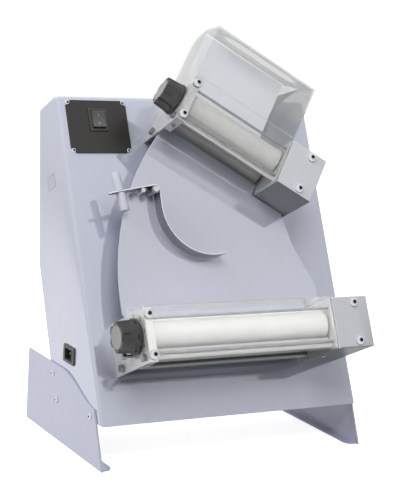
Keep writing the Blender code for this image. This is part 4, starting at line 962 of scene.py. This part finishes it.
def sideLabel():
    # a bare label: a thin film inside a narrow printed border, both four-sided
    size = labelSizes
    outer = np.array(size["corners"])
    inner = outer.mean(0) + (outer - outer.mean(0)) * (1 - size["lineShare"])

    def ring(outline, lift):
        return np.column_stack([np.full(4, -machine["width"] / 2 - lift), outline])

    under, border = size["under"], size["border"]
    rings = np.array([ring(inner, under), ring(outer, under), ring(outer, border), ring(inner, border)])
    loopPiece("labelBorder", rings, "labelLine", "frame", groundFrame, slot="grey_paint")
    film = np.array([ring(inner, under), ring(inner, size["film"])])
    closedPiece("labelFilm", film, "labelFilm", "frame", groundFrame, slot="grey_paint")
    print("label done")


barSizes = {
    "radius": 0.0021, "inset": 0.0023, "out": 0.108, "up": 0.0253,
    "flangeScrew": (0.0072, 0.093), "caseScrew": (0.0068, 0.060), "screw": (0.0038, 0.0024, 0.0015, 0.0016),
}


def boxFixings(tag):
    left, wall = boxEnds[tag][:2]
    size = barSizes
    start, end, radius = left + size["inset"], wall - size["inset"], size["radius"]
    profile = axisProfile([(start, 0), (start, radius), (end, radius), (end, 0)], 0.0003, 2)
    for label, side in (("Upper", 1), ("Lower", -1)):
        turnedPiece(f"{tag}{label}Bar", profile, "barSteel", "frame",
                    shifted(boxFrames[tag], 0, -size["out"], side * size["up"]), 32, slot="steel_sheet")
    # a screw through the left plate's lower flange, and one under the gear case
    for label, edge, (across, out) in (("Flange", left, size["flangeScrew"]), ("Case", wall, size["caseScrew"])):
        place = shifted(boxFrames[tag], edge + across, -out, -boxSizes["half"] - 0.0002)
        domedScrew(f"{tag}{label}Screw", spun(place, -math.pi / 2, "Y"), *size["screw"], finish="darkSteel")


keptNodes = {
    "gearNylon": ("lower_front_gear", "lower_rear_gear", "upper_front_gear", "upper_rear_gear"),
    "beltRubber": ("lower_belt", "upper_belt"),
    "motorCasting": ("lower_gearmotor", "upper_gearmotor"),
    "darkSteel": ("lower_motor_pulley", "upper_motor_pulley", "lower_eccentric_bush", "upper_eccentric_bush",
                  "chute_post_top", "chute_post_bottom"),
}
scraperFinish = {
    "lower_front_scraper": "scraperSteel", "lower_rear_scraper": "paintedShadeSteel",
    # the lower rear scraper takes the dark steel, painted shade inside the lower box
    "upper_front_scraper": "scraperSteel", "upper_rear_scraper": "scraperSteel",
}


def keptPieces():
    for material, names in keptNodes.items():
        for node in names:
            keepNode(node, material)
    for node, material in scraperFinish.items():
        made = softened(node, material, 0.0003)
        made.data.materials.append(materials["darkSteel"])
        tag = node.split("_")[0]
        toBox = boxFrames[tag].inverted()
        for face in made.data.polygons:         # the hexagonal heads outside the left plate
            face.material_index = int((toBox @ face.center).x < boxEnds[tag][0])
    softened("index_plunger", "darkSteel", 0.0002)
    print("inner pieces done")


stageSizes = {
    "floor": 6.0, "floorDown": 0.0005, "floorTone": 0.07, "floorSeen": 0.97, "floorGlow": 0.78,
    "floorMirrored": 0.88, "backdrop": 1.0, "skyTone": (0.94, 0.955, 1.0), "skyStrength": 0.30,
}


def rayIsSeen(tree, mirrored=1.0):
    # one for camera and transmission rays, a given share for glossy rays, nothing for the rest
    path = addNode(tree, "ShaderNodeLightPath").outputs
    glossy = mathNode(tree, "MULTIPLY", path["Is Glossy Ray"], mirrored)
    seen = mathNode(tree, "MAXIMUM", path["Is Camera Ray"], glossy)
    return mathNode(tree, "MAXIMUM", seen, path["Is Transmission Ray"])


def makeStage():
    size = stageSizes
    half = size["floor"]
    mesh = bpy.data.meshes.new("floor")
    mesh.from_pydata([(-half, -half, 0), (half, -half, 0), (half, half, 0), (-half, half, 0)], [], [(0, 1, 2, 3)])
    floor = showObject("floor", mesh)
    floor.location.z = -size["floorDown"]
    made, tree, shader = newMaterial("floorPale")
    seen = rayIsSeen(tree, size["floorMirrored"])
    tone = mixColour(tree, seen, (*[size["floorTone"]] * 3, 1), (*[size["floorSeen"]] * 3, 1))
    feed(tree, shader, (("Base Color", tone), ("Roughness", 0.9), ("Specular IOR Level", 0.0),
                        ("Emission Color", (1, 1, 1, 1)),
                        ("Emission Strength", mathNode(tree, "MULTIPLY", seen, size["floorGlow"]))))
    mesh.materials.append(made)
    world = bpy.data.worlds.new("studio")
    bpy.context.scene.world = world
    world.use_nodes = True
    tree = world.node_tree
    seen = rayIsSeen(tree)
    strength = mathNode(tree, "MULTIPLY_ADD", seen, size["backdrop"] - size["skyStrength"], size["skyStrength"])
    feed(tree, tree.nodes["Background"], (
        ("Color", mixColour(tree, seen, (*size["skyTone"], 1), (1, 1, 1, 1))), ("Strength", strength)))


lamps = {
    # where it stands, what it is aimed at, its size in metres and its power in watts
    "keyLamp": ((-0.7, -2.1, 2.9), (0, 0, 0.3), 1.4, 56.0),
    "sideLamp": ((-2.4, 0.4, 2.3), (0, 0, 0.3), 1.5, 54.0),
    "topLamp": ((0.3, 0.7, 2.6), (0, 0, 0.3), 1.5, 7.0),
}


def addLamps():
    for name, (place, aim, size, power) in lamps.items():
        lamp = showObject(name, adjust(bpy.data.lights.new(name, "AREA"), energy=power, size=size))
        turn = (Vector(aim) - Vector(place)).to_track_quat("-Z", "Y").to_euler()
        adjust(lamp, location=place, rotation_euler=turn, visible_glossy=False)


cameraSetup = {"place": (-1.098, -1.950, 0.688), "yaw": 0.505, "pitch": -0.1716, "roll": 0.0616, "lens": 104.8}


def addCamera():
    # turned to its heading, tipped up from looking straight down, and rolled about its own axis
    size = cameraSetup
    place = spun(Matrix.Translation(size["place"]), -size["yaw"], "Z")
    place = spun(spun(place, math.pi / 2 + size["pitch"], "X"), size["roll"], "Z")
    data = adjust(bpy.data.cameras.new("camera"), lens=size["lens"], sensor_width=36)
    scene = bpy.context.scene
    scene.camera = adjust(showObject("camera", data), matrix_world=place)
    scene.view_settings.view_transform = "Standard"



addCamera()
makeStage()
addLamps()
print("stage, lamps and camera done")
sheetPieces()
clearCovers()
for tag in boxFrames:
    rollers(tag)
    knobs(tag)
    dialPrint(tag)
    boxScrews(tag)
    boxFixings(tag)
    print(tag, "roller box done")
smallScrews()
leverBlade()
leverPosts()
powerSwitch()
powerInlet()
sideLabel()
keptPieces()
